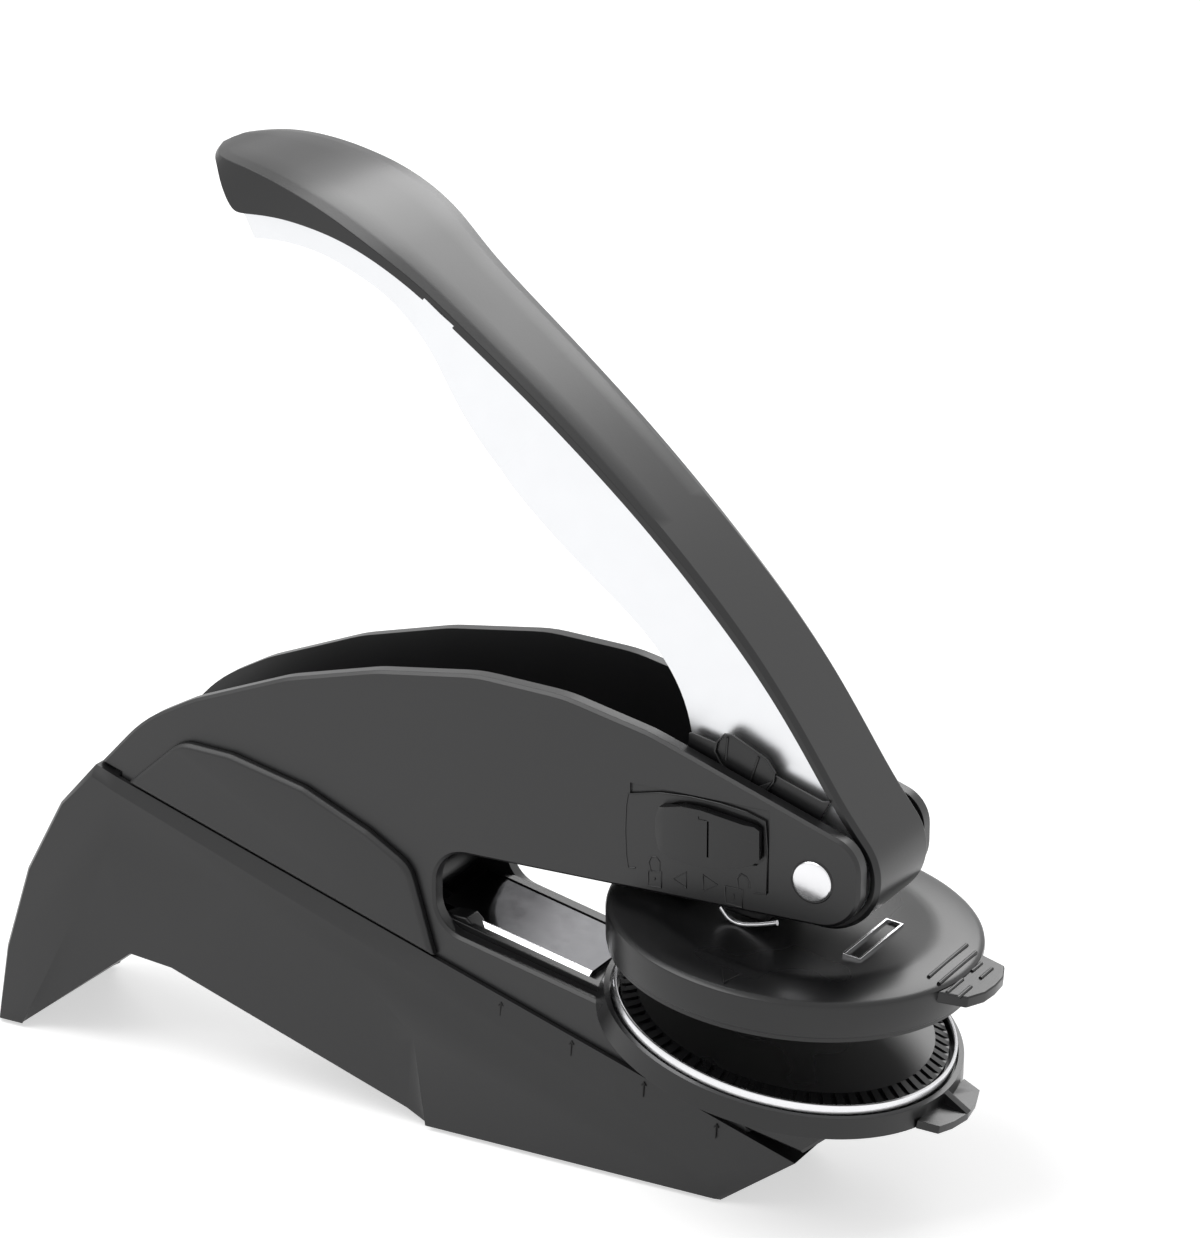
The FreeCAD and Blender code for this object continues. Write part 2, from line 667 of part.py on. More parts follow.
def make_floor():
    body = new_body("channel_floor")
    low = [shoe_top(back) - g.trough_depth for back in (plate_tail, plate_heel)]
    points = [(-plate_tail, low[0]), (-plate_heel, low[1]),
              (-plate_heel, low[1] + g.floor_wall), (-plate_tail, low[0] + g.floor_wall)]
    side_pad(body, points, -plate_inner, plate_inner)
    for back in (g.front_screw_back, g.rear_screw_back):
        top = shoe_top(back) - g.trough_depth + g.floor_wall
        vertical_hole(body, -back, g.screw_radius + g.running_clearance,
                      top - g.floor_wall - g.floor_wall, top + g.floor_wall)
    place(body, ZERO, ZERO)
    return body


make_floor()


def make_spacers():
    pieces = []
    for index, (back, rise) in enumerate(rivet_spots()[:3]):
        body = cylinder_y(f"spacer_{index}", -back, rise, g.spacer_radius, -plate_inner, plate_inner)
        side_hole(body, -back, rise, g.rivet_radius + g.running_clearance,
                  -g.plate_outer, g.plate_outer)
        place(body, ZERO, ZERO)
        pieces.append(body)
    return group("frame_spacers", pieces)


def make_rivets():
    pieces = []
    for index, (back, rise) in enumerate(rivet_spots()):
        body = cylinder_y(f"rivet_{index}", -back, rise, g.rivet_radius, -g.plate_outer, g.plate_outer)
        place(body, ZERO, ZERO)
        pieces.append(body)
    return group("frame_rivets", pieces)


make_spacers()
make_rivets()


# Seat of the lower holder

def make_seat():
    body = new_body("die_seat")
    points = [
        (-g.seat_back, seat_line(g.seat_back, g.lower_height)),
        (g.seat_front, seat_line(-g.seat_front, g.lower_height)),
        (g.seat_front, seat_line(-g.seat_front, g.lower_height + g.table_drop + g.table_drop)),
        (-g.seat_rivet_back, seat_line(g.seat_rivet_back, g.lower_height + g.seat_wall)),
        (-g.seat_back, seat_line(g.seat_back, g.lower_height + g.seat_wall)),
    ]
    side_pad(body, points, -plate_inner, plate_inner)
    table = [
        (-g.seat_back - g.overrun, seat_line(g.seat_back + g.overrun, g.lower_height + g.table_drop)),
        (g.seat_front + g.overrun, seat_line(-g.seat_front - g.overrun, g.lower_height + g.table_drop)),
        (g.seat_front + g.overrun, g.upper_rise),
        (-g.seat_back - g.overrun, g.upper_rise),
    ]
    side_cut(body, table, g.rail_wall - plate_inner, plate_inner - g.rail_wall)
    side_hole(body, -g.seat_rivet_back, g.seat_rivet_rise, g.rivet_radius + g.running_clearance,
              -g.plate_outer, g.plate_outer)
    place(body, ZERO, ZERO)
    return body


def make_throat_stop():
    body = new_body("throat_stop")
    back = g.seat_back - g.seat_gap
    front = back - g.stop_length
    drop = g.lower_height + g.table_drop
    points = [
        (-back, seat_line(back, drop)), (-front, seat_line(front, drop)),
        (-front, seat_line(front, drop) + g.stop_height - g.table_drop),
        (-back, seat_line(back, drop) + g.stop_height),
    ]
    side_pad(body, points, -g.stop_half, g.stop_half)
    place(body, ZERO, ZERO)
    return body


make_seat()
make_throat_stop()


# Lower holder, metal ring and serrated die, drawn about the holder's own axis

# Points of a tab's rounded end: reach and half width
tab_shares = ((0.952, 0.86), (0.982, 0.5))

def tab_outline(root, reach):
    """Half-round tab at the front of a holder, seen from above."""
    near = [(reach * along, g.tab_half * across) for along, across in tab_shares]
    return [(root, -g.tab_half), *[(along, -across) for along, across in near], (reach, ZERO),
            *reversed(near), (root, g.tab_half)]


def make_lower_holder():
    body = new_body("lower_die_holder")
    floor = g.lower_floor - g.lower_height
    turn_profile(body, [
        (ZERO, -g.lower_height), (lower_radius + g.lower_flare, -g.lower_height),
        (lower_radius, -g.lower_ledge), (lower_bore, -g.lower_ledge), (lower_bore, floor), (ZERO, floor),
    ])
    tab_top = g.lower_tab_wall - g.lower_height
    root = lower_bore + g.lower_lip / 2
    plan_pad(body, tab_outline(root, lower_tab_reach), -g.lower_height, tab_top)
    side_pad(body, [(root, tab_top), (lower_tab_reach, tab_top), (root, -g.lower_ledge)],
             -g.gusset_wall / 2, g.gusset_wall / 2)
    place(body, g.die_back, g.lower_rise, g.lower_tilt)
    return body


def make_lower_ring():
    """The bright ring round the lower die, a little higher than the holder's rim."""
    body = new_body("lower_die_ring")
    inner = ring_outer - g.ring_wall
    floor = g.lower_floor - g.lower_height
    turn_profile(body, [(inner, floor), (ring_outer, floor), (ring_outer, ZERO), (inner, ZERO)])
    place(body, g.die_back, g.lower_rise, g.lower_tilt)
    return body


def make_lower_die():
    """The embossing die, its border cut into small radial teeth."""
    body = new_body("lower_die")
    floor = g.lower_floor - g.lower_height
    top = floor + g.die_wall
    shoulder = g.die_radius - g.serration_length
    turn_profile(body, [(ZERO, floor), (g.die_radius, floor), (g.die_radius, top - g.serration_depth),
                        (shoulder, top), (ZERO, top)])
    before = body.Shape.Volume
    half = g.serration_width / 2
    sketch = new_sketch(body, "XY_Plane", top - g.serration_depth)
    draw_outline(sketch, rectangle(shoulder, g.die_radius + g.overrun, -half, half))
    notch = feature(body, "Pocket", sketch, g.serration_depth + g.overrun, back=True)
    check_cut(body, notch, before)
    teeth = body.newObject("PartDesign::PolarPattern", "serrations")
    teeth.Originals = [notch]
    teeth.Axis = (sketch, ["N_Axis"])
    teeth.Angle = 360
    teeth.setExpression("Occurrences", g.serration_count.text)
    body.Tip = teeth
    doc.recompute()
    place(body, g.die_back, g.lower_rise, g.lower_tilt)
    return body


make_lower_holder()
make_lower_ring()
make_lower_die()


# Upper holder and die, drawn about the holder's own axis

def make_upper_holder():
    body = new_body("upper_die_holder")
    ceiling = g.upper_recess - g.upper_height
    turn_profile(body, [
        (ZERO, ceiling), (upper_bore, ceiling), (upper_bore, -g.upper_height),
        (upper_foot_radius, -g.upper_height),
        (upper_foot_radius, g.upper_lip_rise - g.upper_height),
        (upper_foot_radius + g.upper_lip_step, g.upper_lip_rise - g.upper_height),
        (upper_radius, -g.upper_edge), (upper_radius - g.upper_edge, ZERO),
        (upper_radius - g.dome_margin, g.dome_rise), (ZERO, g.dome_rise),
    ])
    tab_low = -g.upper_edge - g.tab_wall
    root = upper_bore + g.upper_skirt / 2
    plan_pad(body, tab_outline(root, tab_reach), tab_low, -g.upper_edge)
    side_pad(body, [(root, tab_low), (tab_reach - g.tab_wall, tab_low), (root, g.tab_wall - g.upper_height)],
             -g.gusset_wall / 2, g.gusset_wall / 2)
    plan_cut(body, rectangle(g.window_back, g.window_front, -g.window_half, g.window_half),
             g.dome_rise - g.window_depth, g.dome_rise + g.overrun)
    for across in arm_screw_spots():
        before = body.Shape.Volume
        sketch = new_sketch(body, "XY_Plane", ceiling + g.seat_gap)
        draw_circle(sketch, -g.arm_screw_back, across, g.arm_screw_radius + g.running_clearance)
        check_cut(body, feature(body, "Pocket", sketch, g.upper_height, back=True), before)
    place(body, g.upper_back, g.upper_rise, g.upper_tilt)
    return body


def make_upper_die():
    body = new_body("upper_die")
    ceiling = g.upper_recess - g.upper_height
    turn_profile(body, [
        (ZERO, ceiling - g.die_wall), (g.die_radius - g.serration_length, ceiling - g.die_wall),
        (g.die_radius, ceiling - g.die_wall + g.serration_depth), (g.die_radius, ceiling), (ZERO, ceiling),
    ])
    place(body, g.upper_back, g.upper_rise, g.upper_tilt)
    return body


def make_press_bar():
    """The bright strip in the window of the upper holder."""
    body = new_body("press_bar")
    gap = g.slide_clearance
    plan_pad(body, rectangle(g.window_back + gap, g.window_front - gap,
                             gap - g.window_half, g.window_half - gap),
             g.dome_rise - g.window_depth, g.dome_rise - g.bar_rise)
    place(body, g.upper_back, g.upper_rise, g.upper_tilt)
    return body


def from_holder(back, rise):
    """A place given from the pivot, told in the upper holder's tilted axes."""
    across = g.upper_back - back
    up = rise - g.upper_rise
    turned = across * cosine(g.upper_tilt) - up * sine(g.upper_tilt)
    lifted = across * sine(g.upper_tilt) + up * cosine(g.upper_tilt)
    return turned, lifted


def arm_screw_spots():
    return (-g.arm_half / 2, g.arm_half / 2)


# Where the arm's top and underside meet the eye, in eye radii from its centre
eye_top_share, eye_low_share = 0.95, 0.1


def make_arm():
    """The cranked arm from the hinge behind the throat to the top of the upper holder."""
    body = new_body("upper_die_arm")
    eye_across, eye_up = from_holder(g.hinge_back, g.hinge_rise)
    low, high = g.dome_rise, g.dome_rise + g.arm_wall
    side_pad(body, [
        (-g.arm_front, low), (-g.arm_front, high), (-g.arm_knee, high),
        (eye_across, eye_up + g.eye_radius * eye_top_share),
        (eye_across, eye_up - g.eye_radius * eye_low_share),
        (-g.arm_knee, low),
    ], -g.arm_half, g.arm_half)
    side_disc(body, eye_across, eye_up, g.eye_radius, -g.arm_half, g.arm_half)
    side_hole(body, eye_across, eye_up, g.hinge_pin_radius + g.running_clearance,
              -g.plate_outer, g.plate_outer)
    notch = g.eye_radius + g.seat_gap
    side_cut(body, rectangle(eye_across - notch - notch, eye_across + notch, eye_up - notch, eye_up + notch),
             -g.eye_half, g.eye_half)
    for across in arm_screw_spots():
        before = body.Shape.Volume
        sketch = new_sketch(body, "XY_Plane", low - g.overrun)
        draw_circle(sketch, -g.arm_screw_back, across, g.arm_screw_radius + g.running_clearance)
        check_cut(body, feature(body, "Pocket", sketch, g.arm_wall + g.overrun * 2, back=True), before)
    place(body, g.upper_back, g.upper_rise, g.upper_tilt)
    return body


def make_arm_screws():
    pieces = []
    low = g.upper_recess - g.upper_height + g.seat_gap
    top = g.dome_rise + g.arm_wall
    for index, across in enumerate(arm_screw_spots()):
        body = new_body(f"arm_screw_{index}")
        for radius, start, end in ((g.arm_screw_radius, low, top),
                                   (g.arm_screw_head, top, top + g.arm_screw_rise)):
            sketch = new_sketch(body, "XY_Plane", start)
            draw_circle(sketch, -g.arm_screw_back, across, radius)
            feature(body, "Pad", sketch, end - start)
        place(body, g.upper_back, g.upper_rise, g.upper_tilt)
        pieces.append(body)
    return group("arm_screws", pieces)


def roller_spot():
    """The roller's centre behind and above the pivot, with the lever raised."""
    angle = g.lever_raise - g.roller_angle
    return g.roller_arm * cosine(angle), g.pivot_rise + g.roller_arm * sine(angle)


def make_press_block():
    """The block that the roller pushes: a wide foot and a tower between the lever's walls."""
    body = new_body("press_block")
    back, rise = roller_spot()
    top = from_holder(back, rise - g.roller_radius - g.roller_gap)[1]
    shoulder = g.dome_rise + g.block_shoulder
    side_pad(body, rectangle(-g.block_back, -g.block_front, g.dome_rise, shoulder),
             -g.block_half, g.block_half)
    side_pad(body, rectangle(-g.block_back, -g.block_front, g.dome_rise, top),
             -g.tower_half, g.tower_half)
    place(body, g.upper_back, g.upper_rise, g.upper_tilt)
    return body


make_upper_holder()
make_upper_die()
make_press_bar()
make_arm()
make_arm_screws()
make_press_block()


def number(size):
    return size.value


def make_lift_wire():
    """A bright bent wire that lies on the upper holder beside the press block."""
    radius, bend = number(g.wire_radius), number(g.wire_bend)
    low = number(g.dome_rise) + radius + number(g.running_clearance)
    back, _ = from_holder(g.wire_back, g.upper_rise)
    front, _ = from_holder(g.wire_front, g.upper_rise)
    across = -number(g.wire_half)
    start = FreeCAD.Vector(back.value, across, low + number(g.wire_height))
    corner = FreeCAD.Vector(back.value, across, low)
    end = FreeCAD.Vector(front.value, across, low)
    rise_end = corner + FreeCAD.Vector(0, 0, bend)
    run_start = corner + FreeCAD.Vector(bend, 0, 0)
    middle = corner + FreeCAD.Vector(bend, 0, bend) * (1 - math.sqrt(0.5))
    path = Part.Wire([
        Part.LineSegment(start, rise_end).toShape(),
        Part.Arc(rise_end, middle, run_start).toShape(),
        Part.LineSegment(run_start, end).toShape(),
    ])
    ring = Part.Wire(Part.makeCircle(radius, start, FreeCAD.Vector(0, 0, -1)))
    piece = doc.addObject("Part::Feature", "lift_wire")
    piece.Shape = path.makePipeShell([ring], True, True)
    place(piece, g.upper_back, g.upper_rise, g.upper_tilt)
    return piece


make_lift_wire()


# Hinge and pivot pins, bearings and springs

def make_hinge_pin():
    body = cylinder_y("die_hinge_pin", -g.hinge_back, g.hinge_rise, g.hinge_pin_radius,
                      -g.plate_outer, g.plate_outer)
    place(body, ZERO, ZERO)
    return body


def make_hinge_spring():
    """The wound spring in the fork of the arm, as its plain sleeve."""
    half = g.eye_half - g.seat_gap
    inner = g.hinge_pin_radius + g.running_clearance
    body = cylinder_y("hinge_spring", -g.hinge_back, g.hinge_rise, inner + g.hinge_spring_wall, -half, half)
    side_hole(body, -g.hinge_back, g.hinge_rise, inner, -g.plate_outer, g.plate_outer)
    place(body, ZERO, ZERO)
    return body


def make_pivot_pin():
    inner = g.plate_outer - g.pin_head_wall
    outer = g.plate_outer + g.pin_head_proud
    body = cylinder_y("pivot_pin", ZERO, g.pivot_rise, g.pin_radius, -inner, inner)
    side_disc(body, ZERO, g.pivot_rise, g.pin_head_radius, -outer, -inner)
    side_disc(body, ZERO, g.pivot_rise, g.pin_head_radius, inner, outer)
    round_edges(body, face_edges(body, -1), g.slide_clearance, "Fillet")
    round_edges(body, face_edges(body, 1), g.slide_clearance, "Fillet")
    place(body, ZERO, ZERO)
    return body


def make_bushings():
    pieces = []
    gap_half = g.core_half + g.running_clearance
    for index, (low, high) in enumerate(((-plate_inner, -gap_half), (gap_half, plate_inner))):
        body = cylinder_y(f"bushing_{index}", ZERO, g.pivot_rise, g.bushing_radius, low, high)
        side_hole(body, ZERO, g.pivot_rise, g.pin_radius + g.running_clearance, low, high)
        place(body, ZERO, ZERO)
        pieces.append(body)
    return group("pivot_bushings", pieces)


def make_lever_spring():
    """The wound return spring round the pivot pin, with the leg that bears on the lever."""
    inner = g.pin_radius + g.running_clearance
    outer = inner + g.spring_wall
    body = cylinder_y("lever_return_spring", ZERO, g.pivot_rise, outer, -g.spring_half, g.spring_half)
    side_hole(body, ZERO, g.pivot_rise, inner, -g.plate_outer, g.plate_outer)
    reach = (outer - g.spring_leg_radius, g.spring_leg_length)
    half = g.spring_leg_radius
    along = (cosine(g.spring_leg_angle), sine(g.spring_leg_angle))
    corners = []
    for length, sideways in ((reach[0], -half), (reach[1], -half), (reach[1], half), (reach[0], half)):
        corners.append((along[0] * length - along[1] * sideways,
                        g.pivot_rise + along[1] * length + along[0] * sideways))
    side_pad(body, corners, g.spring_half - half, g.spring_half + half)
    place(body, ZERO, ZERO)
    return body


make_hinge_pin()
make_hinge_spring()
make_pivot_pin()
make_bushings()
make_lever_spring()


# Lever, drawn lying along -X with the pivot at its origin

def vector(along, across, up):
    return FreeCAD.Vector(-along, across, up)


lever_top_shares = (
    (0.052, 0.493), (0.162, 0.739), (0.281, 0.908), (0.422, 1.0), (0.544, 0.986),
    (0.661, 0.873), (0.780, 0.754), (0.866, 0.556), (0.941, 0.282))
lever_low_shares = (
    (0.967, -0.218), (0.932, 0.021), (0.881, 0.254), (0.843, 0.352), (0.808, 0.401), (0.769, 0.394),
    (0.735, 0.345), (0.687, 0.225), (0.644, 0.134), (0.589, 0.070), (0.430, 0.085), (0.285, 0.092),
    (0.218, -0.141))

# Belly under the roller: reach in roller arms, drop in hub radii
belly_shares = ((1.227, 1.227), (0.818, 1.321))
cavity_end_share = 0.30


def spline_edge(points):
    curve = Part.BSplineCurve()
    curve.interpolate(points)
    return curve.toShape()


def lever_top_points():
    length, height = number(g.lever_length), number(g.lever_height)
    inner = [vector(length * along, 0, height * up) for along, up in lever_top_shares]
    return [vector(0, 0, number(g.hub_radius)), *inner, vector(length, 0, -number(g.lever_tip_drop))]


def prism(points, half):
    """A straight-sided block from a side-view outline, from -half to half along Y."""
    wire = Part.makePolygon([FreeCAD.Vector(p.x, -half, p.z) for p in points + points[:1]])
    return Part.Face(wire).extrude(FreeCAD.Vector(0, 2 * half, 0))


def make_lever_core():
    """The silver channel: hub, two walls and a web along the top, flared at the grip."""
    length, height = number(g.lever_length), number(g.lever_height)
    wide, narrow, wall = number(g.grip_core_half), number(g.core_half), number(g.core_wall)
    top = lever_top_points()
    low = [vector(length * along, 0, height * up) for along, up in lever_low_shares]
    arm, hub = number(g.roller_arm), number(g.hub_radius)
    under = [vector(arm * along, 0, -hub * down) for along, down in belly_shares]
    belly = [low[-1], *under, vector(0, 0, -hub)]
    hub_front = FreeCAD.Vector(hub, 0, 0)
    edges = [
        spline_edge(top),
        Part.LineSegment(top[-1], low[0]).toShape(),
        spline_edge(low),
        *[Part.LineSegment(a, b).toShape() for a, b in zip(belly, belly[1:])],
        Part.Arc(belly[-1], hub_front, top[0]).toShape(),
    ]
    face = Part.Face(Part.Wire(edges))
    face.translate(FreeCAD.Vector(0, -wide, 0))
    solid = face.extrude(FreeCAD.Vector(0, 2 * wide, 0))
    reach = number(g.overrun) + length
    for side in (-1, 1):
        trim = [(-number(g.barrel_radius) - number(g.overrun), narrow), (number(g.grip_taper_from), narrow),
                (number(g.grip_taper_to), wide), (reach, wide + number(g.overrun)),
                (reach, wide + number(g.overrun) * 2),
                (-number(g.barrel_radius) - number(g.overrun), wide + number(g.overrun) * 2)]
        corners = [FreeCAD.Vector(-along, side * across, -reach) for along, across in trim]
        cutter = Part.Face(Part.makePolygon(corners + corners[:1]))
        solid = solid.cut(cutter.extrude(FreeCAD.Vector(0, 0, 2 * reach)))
    solid = solid.cut(lever_cavity(narrow - wall))
    solid = solid.cut(lever_holes())
    piece = doc.addObject("Part::Feature", "lever_core")
    piece.Shape = solid
    place(piece, ZERO, g.pivot_rise, g.lever_raise)
    return piece


def lever_cavity(half):
    """The hollow under the web, open below, with room round the pivot for the spring."""
    web, drop = number(g.web_wall), number(g.lever_height) * 2
    top = [vector(-p.x, 0, p.z - web) for p in lever_top_points() if -p.x < number(g.cavity_reach)]
    top.append(vector(number(g.cavity_reach), 0, number(g.lever_height) * cavity_end_share))
    front = number(g.hub_radius) - web
    floor = [vector(number(g.cavity_reach), 0, -drop), vector(-front, 0, -drop), vector(-front, 0, top[0].z)]
    return prism(top + floor, half)


def along_y(along, up, radius, half):
    return Part.makeCylinder(radius, 2 * half, vector(along, -half, up), FreeCAD.Vector(0, 1, 0))


def polar(arm, angle):
    """A place on the lever from its distance to the pivot and its angle under the lever's line."""
    turn = math.radians(number(angle))
    return number(arm) * math.cos(turn), -number(arm) * math.sin(turn)


def grip_screw_spots():
    """Reach and web height of each screw that holds the cover."""
    top = spline_edge(lever_top_points()).Curve
    for reach in (number(g.first_screw_reach), number(g.second_screw_reach)):
        spot = vector(reach, 0, number(g.lever_height))
        yield reach, top.value(top.parameter(spot)).z


def upright(along, low, high, radius):
    return Part.makeCylinder(radius, high - low, vector(along, 0, low))


def lever_holes():
    """Bores for the pivot pin, the roller pin, the catch pin and the cover's screws."""
    wide, gap = number(g.plate_outer), number(g.running_clearance)
    holes = along_y(0, 0, number(g.pin_radius) + gap, wide)
    along, up = polar(g.roller_arm, g.roller_angle)
    holes = holes.fuse(along_y(along, up, number(g.roller_pin_radius), wide))
    along, up = polar(g.catch_arm, g.catch_angle)
    bore = Part.makeCylinder(number(g.catch_radius), wide, vector(along, -wide, up), FreeCAD.Vector(0, 1, 0))
    holes = holes.fuse(bore)
    for reach, rise in grip_screw_spots():
        deep = rise - number(g.lever_height)
        holes = holes.fuse(upright(reach, deep, rise + number(g.web_wall), number(g.grip_screw_radius)))
        seat = rise - number(g.web_wall)
        holes = holes.fuse(upright(reach, deep, seat, number(g.grip_screw_head) + number(g.grip_screw_gap)))
    return holes


make_lever_core()

# Stations of the cover: reach, lower edge, crease, crest, half width and the crest's part of it
cover_station_shares = (
    (-0.0175, 0.300, 0.385, 0.440, 0.704, 0.90), (0.052, 0.420, 0.506, 0.569, 0.704, 0.90),
    (0.157, 0.640, 0.712, 0.775, 0.704, 0.90), (0.262, 0.780, 0.869, 0.931, 0.715, 0.88),
    (0.393, 0.870, 0.962, 1.025, 0.800, 0.84), (0.506, 0.860, 0.975, 1.044, 0.900, 0.80),
    (0.611, 0.765, 0.906, 0.981, 0.970, 0.77), (0.716, 0.650, 0.775, 0.850, 1.0, 0.75),
    (0.812, 0.460, 0.612, 0.688, 1.0, 0.75), (0.873, 0.250, 0.469, 0.550, 1.0, 0.75),
    (0.925, -0.110, 0.306, 0.394, 0.985, 0.75), (0.960, -0.020, 0.181, 0.262, 0.920, 0.74),
    (0.985, 0.060, 0.106, 0.150, 0.780, 0.70))
cover_low_half_share = 0.92


def cover_section(shares):
    """One cross-section of the cover, square to the lever."""
    reach, low, crease, crest, half, crest_half = shares
    length, height = number(g.cover_length), number(g.cover_height)
    half = half * number(g.cover_grip_half)
    bottom = max(half * cover_low_half_share, min(half, number(g.cover_half)))
    spots = [(-bottom, low), (-half, crease), (-half * crest_half, crest),
             (half * crest_half, crest), (half, crease), (bottom, low)]
    corners = [vector(length * reach, across, height * up) for across, up in spots]
    return Part.makePolygon(corners + corners[:1])


def make_lever_cover():
    """The black cover: a long crowned grip whose neck wraps round the pivot as a barrel."""
    grip = Part.makeLoft([cover_section(shares) for shares in cover_station_shares], True, False)
    half, outer = number(g.cover_half), number(g.barrel_radius)
    inner, bevel = number(g.hub_radius) + number(g.cover_gap), number(g.barrel_bevel)
    start = FreeCAD.Vector(0, -half, 0)
    profile = [(inner, -half), (outer - bevel, -half), (outer, bevel - half), (outer, half - bevel),
               (outer - bevel, half), (inner, half)]
    corners = [FreeCAD.Vector(0, across, radius) for radius, across in profile]
    section = Part.Face(Part.makePolygon(corners + corners[:1]))
    sweep = 90 - number(g.barrel_end)
    barrel = section.revolve(FreeCAD.Vector(0, 0, 0), FreeCAD.Vector(0, 1, 0), sweep)
    solid = grip.fuse(barrel)
    solid = solid.cut(under_lever(number(g.cover_gap)))
    solid = solid.cut(along_y(0, 0, inner, number(g.plate_outer)))
    for reach, rise in grip_screw_spots():
        solid = solid.cut(upright(reach, rise - number(g.overrun), rise + number(g.grip_screw_depth),
                                  number(g.grip_screw_radius)))
    piece = doc.addObject("Part::Feature", "lever_cover")
    piece.Shape = solid
    place(piece, ZERO, g.pivot_rise, g.lever_raise)
    return piece


def under_lever(gap):
    """What lies below the silver channel's upper edge, but for the barrel's room under the pivot."""
    top = spline_edge(lever_top_points())
    first, last = lever_top_points()[0], lever_top_points()[-1]
    drop = number(g.lever_length)
    clear = number(g.barrel_radius) + number(g.overrun)
    floor = [last, last - FreeCAD.Vector(0, 0, drop), vector(clear, 0, -drop), vector(clear, 0, 0),
             vector(0, 0, 0), first]
    edges = [top, *[Part.LineSegment(a, b).toShape() for a, b in zip(floor, floor[1:])]]
    face = Part.Face(Part.Wire(edges))
    half = number(g.cover_grip_half) + number(g.overrun)
    face.translate(FreeCAD.Vector(0, -half, gap))
    return face.extrude(FreeCAD.Vector(0, 2 * half, 0))


make_lever_cover()


def make_lever_pins():
    """The roller, its pin, the catch pin and the cover's screws, all carried by the lever."""
    along, up = polar(g.roller_arm, g.roller_angle)
    half, gap = number(g.roller_half), number(g.running_clearance)
    roller = along_y(along, up, number(g.roller_radius), half)
    roller = roller.cut(along_y(along, up, number(g.roller_pin_radius) + gap, half))
    pin = along_y(along, up, number(g.roller_pin_radius), number(g.core_half))
    catch_along, catch_up = polar(g.catch_arm, g.catch_angle)
    start = number(g.core_half) - number(g.core_wall)
    reach = number(g.catch_reach)
    catch = Part.makeCylinder(number(g.catch_radius), reach - start,
                              vector(catch_along, -reach, catch_up), FreeCAD.Vector(0, 1, 0))
    screws = []
    for reach, rise in grip_screw_spots():
        seat = rise - number(g.web_wall)
        shaft = upright(reach, seat, rise + number(g.grip_screw_depth), number(g.grip_screw_radius))
        head = upright(reach, seat - number(g.grip_screw_head_wall), seat, number(g.grip_screw_head))
        screws.append(shaft.fuse(head).removeSplitter())
    for label, shape in (("press_roller", roller), ("roller_pin", pin), ("catch_pin", catch),
                         ("grip_screws", Part.makeCompound(screws))):
        piece = doc.addObject("Part::Feature", label)
        piece.Shape = shape
        place(piece, ZERO, g.pivot_rise, g.lever_raise)


make_lever_pins()


# Lock slide: a button outside the right plate and a carriage with a hook inside it

def make_lock_button():
    body = new_body("lock_button")
    back_face = g.bezel_depth - g.plate_outer - g.slide_clearance
    front_face = -g.plate_outer - g.button_proud
    box = rectangle(-g.button_back, -g.button_front, g.button_low, g.button_high)
    side_pad(body, box, front_face, back_face)
    joints = [(as_size(a), as_size(b)) for a, b in box]
    round_edges(body, edges_at(body, joints), g.button_fillet)
    round_edges(body, face_edges(body, -1), g.button_edge, "Chamfer")
    middle = (g.button_back + g.button_front) / 2
    side_cut(body, rectangle(-middle - g.groove_width / 2, g.groove_width / 2 - middle,
                             g.button_low + g.groove_margin, g.button_high - g.groove_margin),
             front_face - g.overrun, front_face + g.groove_depth)
    stem_end = g.slide_clearance - plate_inner
    side_pad(body, rectangle(-g.stem_back, -g.stem_front, g.stem_low, g.stem_high), back_face, stem_end)
    place(body, ZERO, ZERO)
    return body


def make_carriage():
    body = new_body("lock_carriage")
    outer = g.slide_clearance - plate_inner
    side_pad(body, [
        (-g.carriage_back, g.carriage_low), (-g.carriage_waist_front, g.carriage_low),
        (-g.carriage_waist_front, g.carriage_chin - g.slide_clearance),
        (-g.running_clearance, g.carriage_chin), (g.carriage_front, g.carriage_front_top),
        (-g.carriage_back + g.pad_inset, g.carriage_top),
        (-g.carriage_back, g.carriage_top - g.overrun),
    ], outer, outer + g.carriage_wall)
    side_pad(body, rectangle(-g.tooth_back, -g.tooth_front, g.tooth_low, g.tooth_high),
             outer + g.carriage_wall, -g.tooth_reach)
    place(body, ZERO, ZERO)
    return body


def plate_top(back):
    """Height of the plates' straight top edge in front of the crest."""
    last_back, last_rise = plate_top_shares[-1]
    slope = (g.frame_top * last_rise - nose_top) / (g.frame_length * last_back + g.nose_reach)
    return nose_top + (back + g.nose_reach) * slope


def make_hook():
    """The curled lip over the plate's top edge, high enough to clear it through the travel."""
    body = new_body("lock_hook")
    lane = g.slide_clearance - plate_inner
    low_back = plate_top(g.hook_back + g.lock_travel) + g.seat_gap
    low_front = plate_top(g.hook_front + g.lock_travel) + g.seat_gap
    side_pad(body, [
        (-g.hook_back, low_back), (-g.hook_front, low_front),
        (-g.hook_front - g.hook_wall, low_front + g.hook_rise),
        (-g.hook_back + g.hook_rise, low_back + g.hook_rise),
        (-g.hook_back, low_back + g.hook_rise / 2),
    ], lane - g.hook_lip, lane)
    place(body, ZERO, ZERO)
    return body


def make_detent():
    body = new_body("lock_detent_spring")
    high = g.carriage_low - g.detent_drop
    lane = -plate_inner
    side_pad(body, rectangle(-g.carriage_back, g.detent_length - g.carriage_back,
                             high - g.detent_width, high), lane, lane + g.carriage_wall)
    place(body, ZERO, ZERO)
    return body


make_lock_button()
make_carriage()
make_hook()
make_detent()

doc.recompute()


# Checks and export

def in_group(item, groups):
    return any(item in compound.Links for compound in groups)


